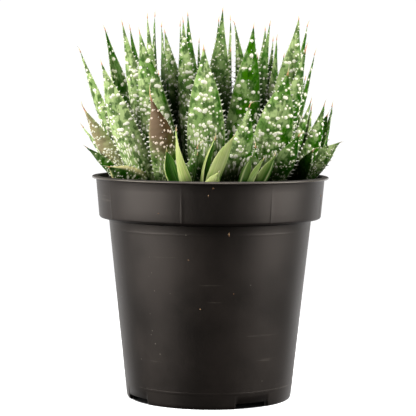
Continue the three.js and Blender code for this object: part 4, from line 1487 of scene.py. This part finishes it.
def make_chips():
    """Bark chips and grit scattered on the mix."""
    rng = np.random.default_rng(CHIP_SEED)
    surfaces = Surfaces()
    for i in range(CHIP_COUNT):
        away = CHIP_REACH * math.sqrt(rng.random())
        x, y, _ = pointing(rng.uniform(0, 360)) * away
        grit = i % GRIT_EVERY == 0
        size = rng.uniform(0.5, 1.0) if grit else rng.uniform(0.7, 2.3)
        sizes = (size, size * rng.uniform(0.45, 0.9), size * (0.8 if grit else 0.35))
        place = (x, y, soil_height(np.array(x), np.array(y)) + 0.15)
        axes = random_axes(rng, sizes, 0.35)
        add_lump(surfaces, rng, place, axes, tone=rng.random(), grit=float(grit))
    chips = surfaces.piece("bark_chips", [BARK])
    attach(chips, "root")


# Crumbs stuck to the pot, as (bearing, height, half width, half height).
POT_CRUMBS = [
    (1.3, 109.8, 0.55, 0.5),
    (-1.0, 106.3, 0.22, 0.5),
    (10.2, 87.2, 0.42, 1.3),
    (-26.0, 97.2, 0.35, 0.3),
    (-12.0, 74.5, 0.3, 0.3),
    (-5.5, 50.5, 0.4, 0.32),
    (14.0, 58.0, 0.28, 0.32),
    (74.0, 104.0, 0.5, 0.4),
    (128.0, 80.0, 0.35, 0.8),
    (196.0, 101.0, 0.5, 0.4),
    (243.0, 62.0, 0.3, 0.5),
]
CRUMB_RELIEF = 0.28  # how far they stand out of the wall


def make_crumbs():
    """Small lumps that sit on the pot's wall."""
    rng = np.random.default_rng(CRUMB_SEED)
    surfaces = Surfaces()
    for bearing, height, half_wide, half_tall in POT_CRUMBS:
        on_collar = height > STEP_HEIGHT
        share = (height - STEP_HEIGHT) / (LIP_UNDERSIDE - STEP_HEIGHT)
        collar = COLLAR_BOTTOM_RADIUS + (COLLAR_TOP_RADIUS - COLLAR_BOTTOM_RADIUS) * share
        radius = collar if on_collar else body_radius(height)
        out = pointing(bearing)
        axes = np.stack([np.cross([0, 0, 1.0], out) * half_wide, out * CRUMB_RELIEF, [0, 0, half_tall]])
        add_lump(surfaces, rng, out * radius + [0, 0, height], axes)
    crumbs = surfaces.piece("pot_crumbs", [CRUMB])
    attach(crumbs, "root")


# ---------- floor, light and camera ----------
CAMERA_DISTANCE = 866.4
CAMERA_HEIGHT = 157.16
CAMERA_SHIFT = -1.12
CAMERA_PITCH = 0.07
CAMERA_ROLL = 0.008
FOCAL_PIXELS = 1700.2
PHOTO_PIXELS = 416
SENSOR = 36.0
BOARD_RADIUS = 1200.0
BOARD_TOP = -0.02
BOARD_UNDERSIDE = -6.0
BOARD_STEPS = 96
SOFTBOX_AIM_HEIGHT = 110.0
# Name, bearing, distance from the axis, height, width, tallness, and power in watts.
SOFTBOXES = [
    ("left_softbox", -68, 560, 275, 640, 500, 6.4),
    ("right_softbox", 73, 560, 275, 520, 500, 4.8),
    ("top_softbox", 0, 300, 760, 400, 300, 1.8),
]


def floor_skin(tree):
    """Plain white board that glows all round the pot, with a painted shadow: black beneath it."""
    place = object_place(tree)
    away = tree.nodes.new("ShaderNodeVectorMath")
    away.operation = "LENGTH"
    tree.links.new(place, away.inputs[0])
    # painted shadow: black and without glow within about 40 mm of the axis
    clear = ranged(tree, away.outputs["Value"], 0.040, 0.0425)
    white = mixed(tree, cloudy(tree, place, 40.0, 2.0), (0.9, 0.9, 0.9, 1), (0.93, 0.93, 0.93, 1))
    return {
        "Base Color": mixed(tree, clear, (0.02, 0.02, 0.02, 1), white),
        "Roughness": 0.8,
        "Emission Strength": times(tree, clear, 0.9),
    }


def make_floor():
    """A flat round board under the pot: two discs joined at their edge."""
    radii = np.array([1.0, BOARD_RADIUS, BOARD_RADIUS, 1.0])[:, None]
    heights = np.array([BOARD_TOP, BOARD_TOP, BOARD_UNDERSIDE, BOARD_UNDERSIDE])[:, None]
    surfaces = Surfaces()
    surfaces.add(*capped_tube(turned(even_bearings(BOARD_STEPS), radii, heights)))
    shine = {"Specular_IOR_Level": 0.1, "Emission_Color": (1, 1, 1, 1)}
    board = finish_material("white_board", floor_skin, **shine)
    floor = surfaces.piece("studio_floor", [board])
    floor.visible_glossy = False
    floor.visible_diffuse = False


def add_softbox(name, bearing, distance, height, width, tall, power):
    """An area light at a bearing round the pot, aimed at the pot's axis a little below its lip."""
    data = bpy.data.lights.new(name, "AREA")
    data.shape = "RECTANGLE"
    data.size, data.size_y, data.energy = width * MM, tall * MM, power
    lamp = bpy.data.objects.new(name, data)
    place = pointing(bearing) * distance + [0, 0, height]
    lamp.location = place * MM
    aim = Vector((np.array([0, 0, SOFTBOX_AIM_HEIGHT]) - place).tolist())
    lamp.rotation_euler = aim.to_track_quat("-Z", "Y").to_euler()
    bpy.context.scene.collection.objects.link(lamp)


def surround_strength(tree):
    """How bright the surround is by direction: in full for the camera, nearly dark in front and dim at
    the back for all other rays, and with a bright band at the back and a bright top for reflections."""
    path = tree.nodes.new("ShaderNodeLightPath")
    heading = tree.nodes.new("ShaderNodeSeparateXYZ")
    tree.links.new(tree.nodes.new("ShaderNodeTexCoord").outputs["Generated"], heading.inputs[0])
    depth, up = heading.outputs["Y"], heading.outputs["Z"]
    behind = ranged(tree, depth, 0.0, 0.8, 0.02, 0.35)
    level = times(tree, ranged(tree, up, -0.6, -0.35, 0.2, 1.0), ranged(tree, up, 0.12, 0.35, 1.0, 0.0))
    backdrop = times(tree, ranged(tree, depth, 0.3, 0.9, 0.0, 1.1), level)
    backdrop = calc(tree, "ADD", backdrop, ranged(tree, up, 0.4, 0.8, 0.0, 1.2))
    mirrored = times(tree, backdrop, path.outputs["Is Glossy Ray"])
    direct = times(tree, path.outputs["Is Camera Ray"], 1.05)
    return calc(tree, "MAXIMUM", calc(tree, "MAXIMUM", behind, mirrored), direct)


def light_studio():
    """The white surround, large soft boxes at the left and right, and a smaller one above."""
    world = bpy.data.worlds.new("white_studio")
    bpy.context.scene.world = world
    world.use_nodes = True
    surround = world.node_tree.nodes["Background"]
    surround.inputs["Color"].default_value = (1, 1, 1, 1)
    wire(world.node_tree, surround.inputs["Strength"], surround_strength(world.node_tree))
    for row in SOFTBOXES:
        add_softbox(*row)


def place_camera():
    """The camera fitted to the photo. Its lens is the sensor's width times focal by photo pixels."""
    data = bpy.data.cameras.new("camera")
    data.sensor_width = SENSOR
    data.lens = FOCAL_PIXELS / PHOTO_PIXELS * SENSOR
    data.clip_start, data.clip_end = 0.05, 20
    camera = bpy.data.objects.new("camera", data)
    camera.location = (CAMERA_SHIFT * MM, -CAMERA_DISTANCE * MM, CAMERA_HEIGHT * MM)
    pitch = Matrix.Rotation(math.pi / 2 - CAMERA_PITCH, 3, "X")
    camera.rotation_euler = (pitch @ Matrix.Rotation(CAMERA_ROLL, 3, "Z")).to_euler()
    bpy.context.scene.collection.objects.link(camera)
    bpy.context.scene.camera = camera


for number, (name, head) in enumerate(HEADS.items()):
    make_rosette(name, head, number)
make_pot()
make_soil()
make_chips()
make_crumbs()
make_floor()
light_studio()
place_camera()
bpy.context.scene.view_settings.view_transform = "Standard"
